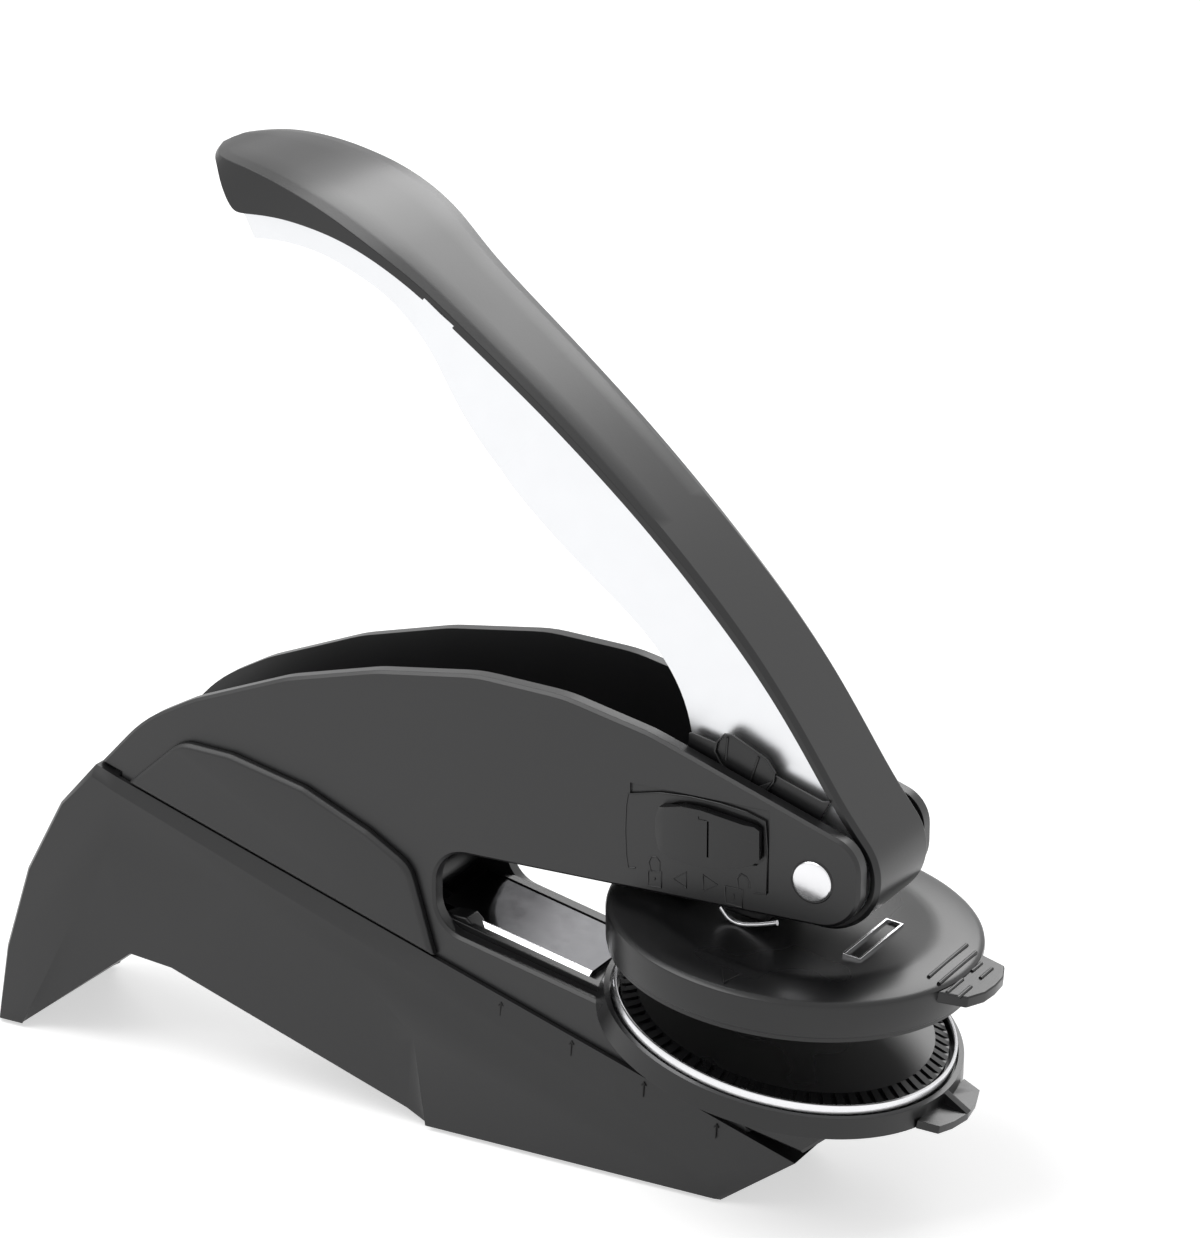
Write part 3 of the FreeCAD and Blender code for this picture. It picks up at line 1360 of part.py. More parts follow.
groups = [item for item in doc.Objects if item.TypeId == "Part::Compound"]
kinds = ("PartDesign::Body", "Part::Feature", "Part::Compound", "Part::Box")
nodes = [item for item in doc.Objects if item.TypeId in kinds and not in_group(item, groups)]
for item in doc.Objects:
    if "Invalid" in item.State or "Error" in item.State:
        raise RuntimeError(f"{item.Label} failed: {item.State}")
os.makedirs("parts", exist_ok=True)
for node in nodes:
    shape = node.Shape
    if shape.isNull() or not shape.isValid() or not shape.Solids:
        raise RuntimeError(f"{node.Label} has no valid solid")
    shape.exportStep(os.path.join("parts", f"{node.Label}.step"))
    box = shape.BoundBox
    print(f"{node.Label}: solids {len(shape.Solids)} volume {shape.Volume:.1f}"
          f" x {box.XMin:.2f} {box.XMax:.2f} y {box.YMin:.2f} {box.YMax:.2f} z {box.ZMin:.2f} {box.ZMax:.2f}")
print(f"origin_shift {origin_shift.value:.4f} nodes {len(nodes)}")
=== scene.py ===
import json
import math
import bmesh
import bpy
from mathutils import Matrix, Vector


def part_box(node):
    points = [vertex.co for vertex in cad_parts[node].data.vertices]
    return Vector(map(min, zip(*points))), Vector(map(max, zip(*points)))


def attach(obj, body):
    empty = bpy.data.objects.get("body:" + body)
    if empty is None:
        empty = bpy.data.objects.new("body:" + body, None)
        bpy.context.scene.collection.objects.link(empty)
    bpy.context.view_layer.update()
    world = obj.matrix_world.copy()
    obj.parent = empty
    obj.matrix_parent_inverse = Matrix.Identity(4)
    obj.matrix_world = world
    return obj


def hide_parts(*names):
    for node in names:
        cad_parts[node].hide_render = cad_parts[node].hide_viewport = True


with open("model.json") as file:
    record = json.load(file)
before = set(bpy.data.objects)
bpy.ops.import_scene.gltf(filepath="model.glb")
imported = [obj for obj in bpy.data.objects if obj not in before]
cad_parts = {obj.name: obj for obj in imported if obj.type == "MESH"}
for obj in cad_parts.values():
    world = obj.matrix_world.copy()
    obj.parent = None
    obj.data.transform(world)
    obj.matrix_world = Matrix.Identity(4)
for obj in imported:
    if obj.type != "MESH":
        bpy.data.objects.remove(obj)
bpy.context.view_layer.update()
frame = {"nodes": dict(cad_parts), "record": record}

# Hand seal embosser: +X is the die end, -Y the side with the lock button, +Z up.
# Meshes are drawn in millimetres from the lever pivot's place and put into metres at the end.

nodes = frame["nodes"]
pivotX = sum(corner.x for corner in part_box("pivot_pin")) / 2
pivotHeight = 44.8
seam = 0.002        # corners nearer than this are one
onFace = 0.01       # a corner this near a face lies in it
flatTurn = math.radians(0.5)


def mm(*values):
    scaled = [value / 1000 for value in values]
    return scaled[0] if len(scaled) == 1 else Vector(scaled)


def localFrame(x, z, tilt=0.0):  # from the pivot forward, from the ground up, nose down
    place = Matrix.Translation((pivotX + mm(x), 0, mm(z)))
    return place @ Matrix.Rotation(math.radians(tilt), 4, "Y") @ Matrix.Scale(mm(1), 4)


bodyFrame = localFrame(0, 0)
leverFrame = localFrame(0, pivotHeight, 43.0)  # the lever lies along -X here
upperFrame = localFrame(-7.0, 35.2, 6.0)
lowerFrame = localFrame(-8.1, 22.7, 12.6)


def toLinear(hexColour):
    channels = [int(hexColour[place:place + 2], 16) / 255 for place in (0, 2, 4)]
    linear = [c / 12.92 if c <= 0.04045 else ((c + 0.055) / 1.055) ** 2.4 for c in channels]
    return (*linear, 1.0)


def addNode(tree, kind, settings=None, links=None):
    node = tree.nodes.new(kind)
    for name, value in (settings or {}).items():
        if isinstance(name, int) or name in node.inputs:
            node.inputs[name].default_value = value
        else:
            setattr(node, name, value)
    for name, source in (links or {}).items():
        tree.links.new(source, node.inputs[name])
    return node


def startMaterial(name):
    material = bpy.data.materials.new(name)
    material.use_nodes = True
    tree = material.node_tree
    tree.nodes.clear()
    return material, tree


# Camera: long lens, a little above the table, from the front right.

cameraSet = {
    "aim": mm(14.8, 2.2, 67.8),
    "azimuth": 29.21,
    "elevation": 19.77,
    "distance": mm(550),
    "lens": 130.6,
    "sensor": 36.0,
}


def makeCamera():
    azimuth = math.radians(cameraSet["azimuth"])
    elevation = math.radians(cameraSet["elevation"])
    back = Vector((
        math.sin(azimuth) * math.cos(elevation),
        -math.cos(azimuth) * math.cos(elevation),
        math.sin(elevation)))
    data = bpy.data.cameras.new("studioCamera")
    data.lens = cameraSet["lens"]
    data.sensor_width = cameraSet["sensor"]
    data.sensor_fit = "AUTO"
    data.clip_start = 0.01
    camera = bpy.data.objects.new("studioCamera", data)
    camera.location = cameraSet["aim"] + back * cameraSet["distance"]
    camera.rotation_euler = (-back).to_track_quat("-Z", "Y").to_euler()
    bpy.context.scene.collection.objects.link(camera)
    bpy.context.scene.camera = camera


# Studio: white table, white room, a broad lamp above and one behind for the sheen on the grip.

studio = {
    "roomGlow": 0.45,
    "topLamp": {"power": 4.4, "size": 0.7, "place": (-0.35, -0.3, 0.8)},
    "backLamp": {"power": 2.2, "size": 0.42, "place": (-0.03, 0.79, 0.62)},
    "lampTarget": mm(-5, 0, 50),
    "floorSize": 4.0,
    "floorColour": "e0e0e0",
    "floorLift": 0.58,
}


def seenRays(tree, names):  # 1 for the rays of these kinds, 0 for all others
    ray = addNode(tree, "ShaderNodeLightPath").outputs
    seen = ray[names[0]]
    for name in names[1:]:
        seen = addNode(tree, "ShaderNodeMath", {"operation": "MAXIMUM"}, {0: seen, 1: ray[name]}).outputs[0]
    return seen


def makeWorld():
    world = bpy.data.worlds.new("whiteRoom")
    bpy.context.scene.world = world
    world.use_nodes = True
    tree = world.node_tree
    tree.nodes.clear()
    seen = seenRays(tree, ("Is Camera Ray", "Is Glossy Ray", "Is Transmission Ray"))
    glow = addNode(tree, "ShaderNodeMapRange", {"To Min": studio["roomGlow"], "To Max": 1.0}, {"Value": seen})
    room = addNode(tree, "ShaderNodeBackground", {"Color": (1, 1, 1, 1)}, {"Strength": glow.outputs[0]})
    addNode(tree, "ShaderNodeOutputWorld", links={"Surface": room.outputs[0]})


def makeLamp(name, power, size, place, target):
    data = bpy.data.lights.new(name, "AREA")
    data.energy = power
    data.size = size
    lamp = bpy.data.objects.new(name, data)
    lamp.location = place
    lamp.rotation_euler = (target - Vector(place)).to_track_quat("-Z", "Y").to_euler()
    bpy.context.scene.collection.objects.link(lamp)


def makeFloor():
    mesh = bpy.data.meshes.new("studioFloor")
    bm = bmesh.new()
    bmesh.ops.create_grid(bm, x_segments=1, y_segments=1, size=studio["floorSize"] / 2)
    bm.to_mesh(mesh)
    bm.free()
    floor = bpy.data.objects.new("studioFloor", mesh)
    bpy.context.scene.collection.objects.link(floor)
    material, tree = startMaterial("whiteTableTop")
    seen = seenRays(tree, ("Is Camera Ray", "Is Glossy Ray"))
    lift = addNode(tree, "ShaderNodeMath", {"operation": "MULTIPLY", 1: studio["floorLift"]}, {0: seen})
    paper = addNode(tree, "ShaderNodeBsdfDiffuse", {"Color": toLinear(studio["floorColour"])})
    glow = addNode(tree, "ShaderNodeEmission", links={"Strength": lift.outputs[0]})
    both = addNode(tree, "ShaderNodeAddShader", links={0: paper.outputs[0], 1: glow.outputs[0]})
    addNode(tree, "ShaderNodeOutputMaterial", links={"Surface": both.outputs[0]})
    mesh.materials.append(material)


# Finishes.

hazeMm = 18       # size of the faint uneven patches in a plastic
hazeLift = 1.18   # how much paler such a patch is


def mouldedPlastic(name, colour, roughness, grainMm, grainDepth, glass=1.52):
    material, tree = startMaterial(name)
    place = addNode(tree, "ShaderNodeTexCoord").outputs["Object"]
    grain = addNode(tree, "ShaderNodeTexNoise", {"Scale": 1 / mm(grainMm), "Detail": 3.0}, {"Vector": place})
    haze = addNode(tree, "ShaderNodeTexNoise", {"Scale": 1 / mm(hazeMm), "Detail": 2.0}, {"Vector": place})
    pale = tuple(min(1, c * hazeLift) for c in toLinear(colour)[:3]) + (1.0,)
    tone = addNode(tree, "ShaderNodeMix", {"data_type": "RGBA", 6: toLinear(colour), 7: pale}, {
        0: haze.outputs["Fac"]})
    dull = addNode(tree, "ShaderNodeMapRange", {
        "To Min": roughness - 0.05, "To Max": roughness + 0.06}, {"Value": haze.outputs["Fac"]})
    bump = addNode(tree, "ShaderNodeBump", {
        "Strength": 0.35, "Distance": mm(grainDepth)}, {"Height": grain.outputs["Fac"]})
    skin = addNode(tree, "ShaderNodeBsdfPrincipled", {"IOR": glass}, {
        "Base Color": tone.outputs[2], "Roughness": dull.outputs[0], "Normal": bump.outputs[0]})
    addNode(tree, "ShaderNodeOutputMaterial", links={"Surface": skin.outputs[0]})
    return material


def turnedMetal(name, colour, roughness, streakMm, depth):
    material, tree = startMaterial(name)
    place = addNode(tree, "ShaderNodeTexCoord").outputs["Object"]
    streak = addNode(tree, "ShaderNodeTexNoise", {"Scale": 1 / mm(streakMm), "Detail": 4.0}, {
        "Vector": place})
    dull = addNode(tree, "ShaderNodeMapRange", {
        "To Min": roughness - 0.04, "To Max": roughness + 0.08}, {"Value": streak.outputs["Fac"]})
    bump = addNode(tree, "ShaderNodeBump", {
        "Strength": 0.2, "Distance": mm(depth)}, {"Height": streak.outputs["Fac"]})
    skin = addNode(tree, "ShaderNodeBsdfPrincipled", {"Base Color": toLinear(colour), "Metallic": 1.0}, {
        "Roughness": dull.outputs[0], "Normal": bump.outputs[0]})
    addNode(tree, "ShaderNodeOutputMaterial", links={"Surface": skin.outputs[0]})
    return material


finishes = {
    # Satin enamel on steel: even dark grey with a soft wide sheen.
    "frame_black": mouldedPlastic("satinEnamelOnSteel", "131314", 0.36, 0.5, 0.012, 1.56),
    # Moulded ABS with a fine spark grain: matt, with faint paler patches.
    "shoe_grey": mouldedPlastic("grainedAbsShoe", "141415", 0.4, 0.4, 0.02, 1.54),
    # Moulded nylon grip: smooth enough to catch a long highlight.
    "grip_black": mouldedPlastic("smoothNylonGrip", "121213", 0.3, 0.4, 0.01, 1.53),
    # Acetal die bodies: dense black with a low sheen.
    "die_black": mouldedPlastic("mouldedAcetal", "101011", 0.28, 0.5, 0.01, 1.5),
    # Nickel plate over a pressed channel: bright and soft, it only blurs what stands near it.
    "lever_silver": turnedMetal("polishedNickelPlate", "e4e5e7", 0.34, 3.0, 0.008),
    # Ground steel pins: bright, with fine turning marks.
    "steel_bright": turnedMetal("turnedBrightSteel", "e4e4e6", 0.2, 0.6, 0.01),
    # Drawn spring wire: darker and duller than the pins.
    "spring_steel": turnedMetal("drawnSpringWire", "b4b4b8", 0.3, 0.4, 0.01),
    # Rubber desk pads: nearly no sheen.
    "pad_rubber": mouldedPlastic("deskPadRubber", "161616", 0.75, 0.3, 0.03),
}

# Blackened polished steel: a dark mirror that picks up the white room through the throat.
polishedTable = turnedMetal("blackenedPolishedSteel", "38383a", 0.08, 2.0, 0.004)


def dressNodes():
    slots = {part["node"]: part["material_slot"] for part in frame["record"]["subparts"]}
    for name, node in nodes.items():
        node.data.materials.clear()
        node.data.materials.append(finishes[slots[name]])
    return slots


# Mesh helpers.

def addPiece(bm, name, body, slotName, rim=0.0, rimSteps=2, sharp=30):
    mesh = bpy.data.meshes.new(name)
    bm.to_mesh(mesh)
    bm.free()
    mesh.shade_smooth()
    mesh.set_sharp_from_angle(angle=math.radians(sharp))
    mesh.materials.append(finishes[slotName])
    piece = bpy.data.objects.new(name, mesh)
    bpy.context.scene.collection.objects.link(piece)
    if rim:
        edge = piece.modifiers.new("softRim", "BEVEL")
        edge.width = mm(rim)
        edge.segments = rimSteps
        edge.limit_method = "ANGLE"
        edge.angle_limit = math.radians(sharp)
        edge.harden_normals = True
    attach(piece, body)
    return piece


def placePiece(bm, where, *details, **settings):  # closes the seams, then drawn place to real place
    bmesh.ops.remove_doubles(bm, verts=bm.verts, dist=seam)
    bmesh.ops.recalc_face_normals(bm, faces=bm.faces)
    bmesh.ops.transform(bm, matrix=where, verts=bm.verts)
    return addPiece(bm, *details, **settings)


def copyNode(name, flatten=True):  # the node's own shape in closed form, flat faces whole
    bm = bmesh.new()
    bm.from_mesh(nodes[name].data)
    bmesh.ops.remove_doubles(bm, verts=bm.verts, dist=mm(seam))
    if flatten:
        bmesh.ops.dissolve_limit(bm, angle_limit=flatTurn, verts=bm.verts, edges=bm.edges)
    return bm


def drawOutline(bm, points, across):
    return bm.faces.new([bm.verts.new((x, across, z)) for x, z in points])


def closeRing(bm, spots):
    verts = [bm.verts.new(spot) for spot in spots]
    return [bm.edges.new(pair) for pair in zip(verts, verts[1:] + verts[:1])]


def shiftGrown(bm, grown, shift):  # moves what an extrusion has just made
    moved = [item for item in grown["geom"] if isinstance(item, bmesh.types.BMVert)]
    bmesh.ops.translate(bm, verts=moved, vec=shift)


def thicken(bm, face, shift):
    shiftGrown(bm, bmesh.ops.extrude_face_region(bm, geom=[face]), shift)


def sidePlate(outline, near, far):  # a flat piece upright along X, its outline drawn as x and z
    bm = bmesh.new()
    thicken(bm, drawOutline(bm, outline, near), (0, far - near, 0))
    return bm


def planSlab(outline, low, high):  # a flat piece lying down, its outline drawn as x and y
    bm = bmesh.new()
    thicken(bm, bm.faces.new([bm.verts.new((x, y, high)) for x, y in outline]), (0, 0, low - high))
    return bm


def cutAt(bm, axis, value):
    normal = [0, 0, 0]
    normal[axis] = 1
    spot = [0, 0, 0]
    spot[axis] = value
    bmesh.ops.bisect_plane(bm, geom=bm.verts[:] + bm.edges[:] + bm.faces[:], plane_co=spot, plane_no=normal)


def sinkPatch(bm, left, right, low, high, face, depth):  # presses a box-shaped patch into a flat side
    for axis, value in ((0, left), (0, right), (2, low), (2, high)):
        cutAt(bm, axis, value)
    patch = []
    for item in bm.faces:
        middle = item.calc_center_median()
        if left < middle.x < right and low < middle.z < high and abs(middle.y - face) < onFace:
            patch.append(item)
    grown = bmesh.ops.extrude_face_region(bm, geom=patch)
    bmesh.ops.delete(bm, geom=patch, context="FACES")
    shiftGrown(bm, grown, (0, depth, 0))


def turned(profile, steps=120):  # radius and height, turned about Z
    bm = bmesh.new()
    verts = [bm.verts.new((radius, 0, height)) for radius, height in profile]
    edges = [bm.edges.new(pair) for pair in zip(verts, verts[1:])]
    bmesh.ops.spin(bm, geom=verts + edges, cent=(0, 0, 0), axis=(0, 0, 1), angle=math.tau, steps=steps,
                   use_merge=True)
    return bm


def tube(paths, where, radius, *details, smooth=False, sides=3, **settings):
    curve = bpy.data.curves.new("tubePath", "CURVE")
    curve.dimensions = "3D"
    curve.bevel_depth = radius
    curve.bevel_resolution = sides
    curve.use_fill_caps = True
    for points, closed in paths:
        line = curve.splines.new("NURBS" if smooth else "POLY")
        line.points.add(len(points) - 1)
        for point, spot in zip(line.points, points):
            point.co = (*spot, 1)
        if smooth:
            line.order_u = 3
            line.use_endpoint_u = True
        line.use_cyclic_u = closed
    drawn = bpy.data.objects.new("tubePath", curve)
    mesh = bpy.data.meshes.new_from_object(drawn)
    bpy.data.objects.remove(drawn)
    bm = bmesh.new()
    bm.from_mesh(mesh)
    bpy.data.meshes.remove(mesh)
    return placePiece(bm, where, *details, **settings)


# Rounded copies of the rigid nodes that show: how far each one's edges are rounded, in millimetres.

softRims = {
    "frame": {"side_plate_right": 0.12, "side_plate_left": 0.12, "base_shoe": 0.35, "side_panel_right": 0.2,
              "side_panel_left": 0.2, "foot_pads": 0.2, "die_seat": 0.15, "lower_die_holder": 0.18,
              "frame_rivets": 0.1},
    "upper_die_swing": {"upper_die_arm": 0.3, "press_block": 0.3},
}


def makeSoftCopies():
    for body, rims in softRims.items():
        for name, rim in rims.items():
            piece = addPiece(copyNode(name), name + "_soft", body, nodeSlots[name], rim=rim, sharp=24)
            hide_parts(name)


# Silver channel: the node's shape, its upper side lowered to stay under the grip's thin skin.

channelShape = {
    "split": 7.5,  # height that parts the upper corners from the lower ones
    "upper": ((14, 0), (18, -0.3), (24, -0.7), (30, -1.0), (40, -1.47), (50, -1.77), (60, -1.67), (70, -1.1),
              (76, -1.0), (84, -0.5), (88, 0.1), (92, 0.6), (96, 0.7), (100, 0.4), (104, 0), (120, 0)),
    "lower": ((60, 0), (70, 0.6), (76, 1.05), (80, 1.05), (84, 0.7), (88, 0.4), (92, 0.15), (96, 0.2),
              (100, 0.2), (104, 0), (120, 0)),
    "fromReach": 14.0,
    "handReach": 88.0,
    "handSlope": 0.45,
    "rim": 0.12,
}


def readAlong(table, reach):  # the value at this reach, on straight lines between the points
    for (near, low), (far, high) in zip(table, table[1:]):
        if near <= reach <= far:
            return low + (high - low) * (reach - near) / (far - near)
    return table[0][1]


def makeChannel():
    shape = channelShape
    bm = copyNode("lever_core")
    bmesh.ops.transform(bm, matrix=leverFrame.inverted(), verts=bm.verts)
    for vert in bm.verts:
        reach = -vert.co.x
        if reach > shape["fromReach"]:
            split = shape["split"] - shape["handSlope"] * max(0, reach - shape["handReach"])
            table = shape["upper"] if vert.co.z > split else shape["lower"]
            vert.co.z += readAlong(table, reach)
    bmesh.ops.recalc_face_normals(bm, faces=bm.faces)
    bmesh.ops.transform(bm, matrix=leverFrame, verts=bm.verts)
    piece = addPiece(bm, "silver_channel", "lever", "lever_silver", rim=shape["rim"], sharp=24)
    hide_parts("lever_core")


gripScrewShape = {
    "tops": ((34, 12.4), (86, 10.2)),
    "rim": 0.08,
}


def makeGripScrews():  # shorter shafts, under the thin skin
    shape = gripScrewShape
    bm = copyNode("grip_screws", flatten=False)
    bmesh.ops.transform(bm, matrix=leverFrame.inverted(), verts=bm.verts)
    for vert in bm.verts:
        reach = -vert.co.x
        spot, top = min(shape["tops"], key=lambda pair: abs(pair[0] - reach))
        vert.co.z = min(vert.co.z + readAlong(channelShape["upper"], spot), top)
    bmesh.ops.transform(bm, matrix=leverFrame, verts=bm.verts)
    screws = addPiece(bm, "grip_screws_short", "lever", nodeSlots["grip_screws"], rim=shape["rim"])
    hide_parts("grip_screws")


# Lever cover: one skin that runs round the pivot as a barrel, up the neck and out to the grip.

coverShape = {
    "barrelInner": 6.25,
    "barrelOuter": 7.4,
    "barrelCrease": 0.45,
    "barrelHalf": 6.95,
    "barrelCrest": 6.3,
    "barrelTurns": (178, 165, 150, 135, 120, 105, 90, 75, 60, 45, 30, 15),
    "rim": 0.14,
    "sharp": 18,
    # Reach, lower edge, crease, crest, half width and the crest's part of it
    "stations": (
        (0, 6.25, 6.95, 7.4, 7.0, 0.90), (4, 6.9, 7.65, 8.05, 7.05, 0.90), (8, 7.8, 8.6, 9.0, 7.05, 0.90),
        (12, 8.8, 9.6, 10.0, 7.05, 0.90), (18, 10.1, 10.95, 11.35, 7.05, 0.90),
        (24, 11.0, 11.9, 12.3, 7.05, 0.89), (30, 11.6, 12.55, 12.95, 7.1, 0.88),
        (38, 12.1, 13.0, 13.4, 7.2, 0.86), (45, 12.3, 13.15, 13.5, 7.35, 0.84),
        (52, 12.2, 13.1, 13.45, 7.5, 0.82), (58, 11.95, 12.9, 13.25, 7.65, 0.80),
        (64, 11.6, 12.55, 12.9, 7.8, 0.79), (70, 11.05, 12.1, 12.4, 8.0, 0.78),
        (76, 10.45, 11.55, 11.87, 8.2, 0.77), (80, 10.05, 11.2, 11.5, 8.38, 0.76),
        (84, 9.7, 10.86, 11.16, 8.66, 0.75), (88, 9.25, 10.5, 10.8, 9.5, 0.75),
        (91, 8.75, 10.18, 10.48, 10.2, 0.75), (94, 7.8, 9.66, 9.96, 10.6, 0.75),
        (97, 6.35, 8.95, 9.25, 10.76, 0.76), (100, 4.4, 7.96, 8.26, 10.7, 0.77),
        (102, 2.85, 7.16, 7.46, 10.55, 0.78), (104, 1.0, 6.26, 6.56, 10.32, 0.78),
        (106, -1.2, 5.26, 5.56, 10.02, 0.78), (107, -2.05, 4.72, 5.02, 9.86, 0.78),
        (108.5, -2.0, 3.85, 4.15, 9.6, 0.78), (110, -1.65, 2.9, 3.2, 9.26, 0.78),
        (111.5, -1.15, 1.85, 2.15, 8.88, 0.77), (113, -0.55, 0.7, 1.0, 8.3, 0.76),
        (114, -0.85, -0.05, 0.25, 7.3, 0.72), (115, -1.3, -0.7, -0.4, 5.4, 0.62),
        (115.8, -1.75, -1.25, -1.0, 2.8, 0.4)),
}


def coverSections():
    shape = coverShape
    for turn in shape["barrelTurns"]:
        angle = math.radians(turn)
        rows = []
        for half, radius in ((shape["barrelHalf"], shape["barrelInner"]),
                             (shape["barrelHalf"], shape["barrelOuter"] - shape["barrelCrease"]),
                             (shape["barrelCrest"], shape["barrelOuter"])):
            rows.append((half, radius * math.sin(angle), radius * math.cos(angle)))
        yield rows
    for reach, low, crease, crest, half, crestPart in shape["stations"]:
        yield [(half, -reach, low), (half, -reach, crease), (half * crestPart, -reach, crest)]


def makeLeverCover():
    bm = bmesh.new()
    crease = bm.edges.layers.float.new("crease_edge")
    rings = []
    for rows in coverSections():
        spots = [(x, -half, z) for half, x, z in rows] + [(x, half, z) for half, x, z in reversed(rows)]
        rings.append(closeRing(bm, spots))
    for one, other in zip(rings, rings[1:]):
        sides = bmesh.ops.bridge_loops(bm, edges=one + other)
        for edge in sides["edges"]:
            edge[crease] = 1.0
    for ring in (rings[0], rings[-1]):
        bmesh.ops.contextual_create(bm, geom=ring)
        for edge in ring:
            edge[crease] = 1.0
    bmesh.ops.recalc_face_normals(bm, faces=bm.faces)
    bmesh.ops.transform(bm, matrix=leverFrame, verts=bm.verts)
    piece = addPiece(bm, "grip_and_barrel", "lever", "grip_black", sharp=coverShape["sharp"])
    smooth = piece.modifiers.new("longCurve", "SUBSURF")
    smooth.levels = smooth.render_levels = 2
    edge = piece.modifiers.new("softRim", "BEVEL")
    edge.width = mm(coverShape["rim"])
    edge.segments = 3
    edge.limit_method = "ANGLE"
    edge.angle_limit = math.radians(coverShape["sharp"])
    edge.harden_normals = True
    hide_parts("lever_cover")


# Upper die holder: shallow disc with a dished top, a window near the front and a ribbed tab.

upperHolderShape = {
    "profile": ((0, -0.35), (5, -0.33), (9, -0.22), (12, -0.05), (14.5, 0.15), (16.2, 0.36), (17.2, 0.45),
                (18.2, 0.44), (20.5, 0.24), (22.3, 0.02), (22.8, -0.1), (23.1, -0.35), (23.2, -0.75),
                (22.82, -4.55), (22.72, -4.66), (22.6, -4.7), (22.6, -5.25), (22.5, -5.3), (20.7, -5.3),
                (20.7, -2.9), (0, -2.9)),
    "tab": ((21.4, -6.5), (25.7, -5.3), (26.8, -2.6), (27.0, 0), (26.8, 2.6), (25.7, 5.3), (21.4, 6.5)),
    "tabTop": -0.45,
    "tabWall": 1.5,
    "tabRim": 0.25,
    "gusset": ((21.4, -1.9), (25.9, -1.9), (25.3, -2.7), (21.4, -4.6)),
    "gussetHalf": 0.5,
    "ribs": ((20.2, -4.8, 6.0, 0.22), (21.8, -5.3, 5.2, 0.06), (23.2, -5.8, -1.5, -0.47),
             (23.2, 1.2, 3.9, -0.47), (24.8, -6.2, -2.5, -0.47), (24.8, 0.2, 3.5, -0.47)),
    "ribRadius": 0.26,
    "pointer": ((-0.2, -19.1), (2.3, -18.7), (1.6, -22.0)),
    "pointerFoot": -0.3,
    "pointerTop": 0.42,
    "window": {"left": 9.3, "right": 11.7, "half": 6.0, "wall": 0.3, "top": 0.35, "frameFoot": -0.75,
               "glassFoot": -0.65, "glassTop": -0.05},
}


def makeUpperHolder():
    shape = upperHolderShape
    disc = turned(shape["profile"])
    piece = placePiece(disc, upperFrame, "upper_holder_disc", "upper_die_swing", "die_black", sharp=28)
    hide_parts("upper_die_holder")
    tab = planSlab(shape["tab"], shape["tabTop"] - shape["tabWall"], shape["tabTop"])
    placePiece(tab, upperFrame, "upper_holder_tab", "upper_die_swing", "die_black", rim=shape["tabRim"])
    gusset = sidePlate(shape["gusset"], -shape["gussetHalf"], shape["gussetHalf"])
    placePiece(gusset, upperFrame, "upper_tab_gusset", "upper_die_swing", "die_black", rim=0.12)
    ribs = [(((x, low, z), (x, high, z)), False) for x, low, high, z in shape["ribs"]]
    tube(ribs, upperFrame, shape["ribRadius"], "tab_grip_ribs", "upper_die_swing", "die_black", sharp=60)
    mark = planSlab(shape["pointer"], shape["pointerFoot"], shape["pointerTop"])
    placePiece(mark, upperFrame, "die_mark", "upper_die_swing", "die_black", rim=0.06)


def makeWindow():
    shape = upperHolderShape["window"]
    outer = ((shape["left"], -shape["half"]), (shape["right"], -shape["half"]),
             (shape["right"], shape["half"]), (shape["left"], shape["half"]))
    bm = bmesh.new()
    rings = []
    inward = ((1, 1), (-1, 1), (-1, -1), (1, -1))
    for inset in (0, shape["wall"]):
        rings += closeRing(bm, [(x + inset * along, y + inset * across, shape["top"])
                                for (x, y), (along, across) in zip(outer, inward)])
    top = bmesh.ops.bridge_loops(bm, edges=rings)["faces"]
    grown = bmesh.ops.extrude_face_region(bm, geom=top)
    shiftGrown(bm, grown, (0, 0, shape["frameFoot"] - shape["top"]))
    piece = placePiece(bm, upperFrame, "window_frame", "upper_die_swing", "steel_bright", rim=0.06)
    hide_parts("press_bar")
    glass = planSlab(outer, shape["glassFoot"], shape["glassTop"])
    placePiece(glass, upperFrame, "window_glass", "upper_die_swing", "die_black", rim=0.05)


# Pivot pin head, and a thin black ring round it: painted shade standing for the shaded gap between the head
# and the plate.

pinShape = {
    "head": ((0, -0.26), (2.2, -0.22), (2.42, -0.16), (2.52, -0.04), (2.52, 0.1), (2.3, 0.1), (2.3, 0.9),
             (0, 0.9)),
    # seat: painted shade, a thin black ring filling the gap round the head where only shade falls
    "seat": ((2.54, -0.02), (2.66, -0.05), (2.78, 0.02), (2.78, 0.3), (2.54, 0.3), (2.54, -0.02)),
    "face": 9.95,
    "shaft": ((1.8, -9.1), (1.8, 9.1)),
}


def makePivotPin():
    for side, name in ((-1, "right"), (1, "left")):
        turnOut = Matrix.Rotation(math.radians(-90 * side), 4, "X")
        spot = Matrix.Translation((0, side * pinShape["face"], pivotHeight))
        flip = bodyFrame @ spot @ turnOut @ Matrix.Diagonal((1, 1, -1, 1))
        head = turned(pinShape["head"], steps=72)
        head = placePiece(head, flip, "pin_head_" + name, "frame", "steel_bright")
        # the black ring round each head is painted shade for the gap in the plate
        placePiece(turned(pinShape["seat"], steps=72), flip, "pin_seat_" + name, "frame", "die_black")
        if side < 0:
            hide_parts("pivot_pin")
    across = bodyFrame @ Matrix.Translation((0, 0, pivotHeight)) @ Matrix.Rotation(math.radians(90), 4, "X")
    placePiece(turned(pinShape["shaft"], steps=36), across, "pin_shaft", "frame", "steel_bright")


# Lock: button with its bezel and signs outside, strip and curled hook inside.

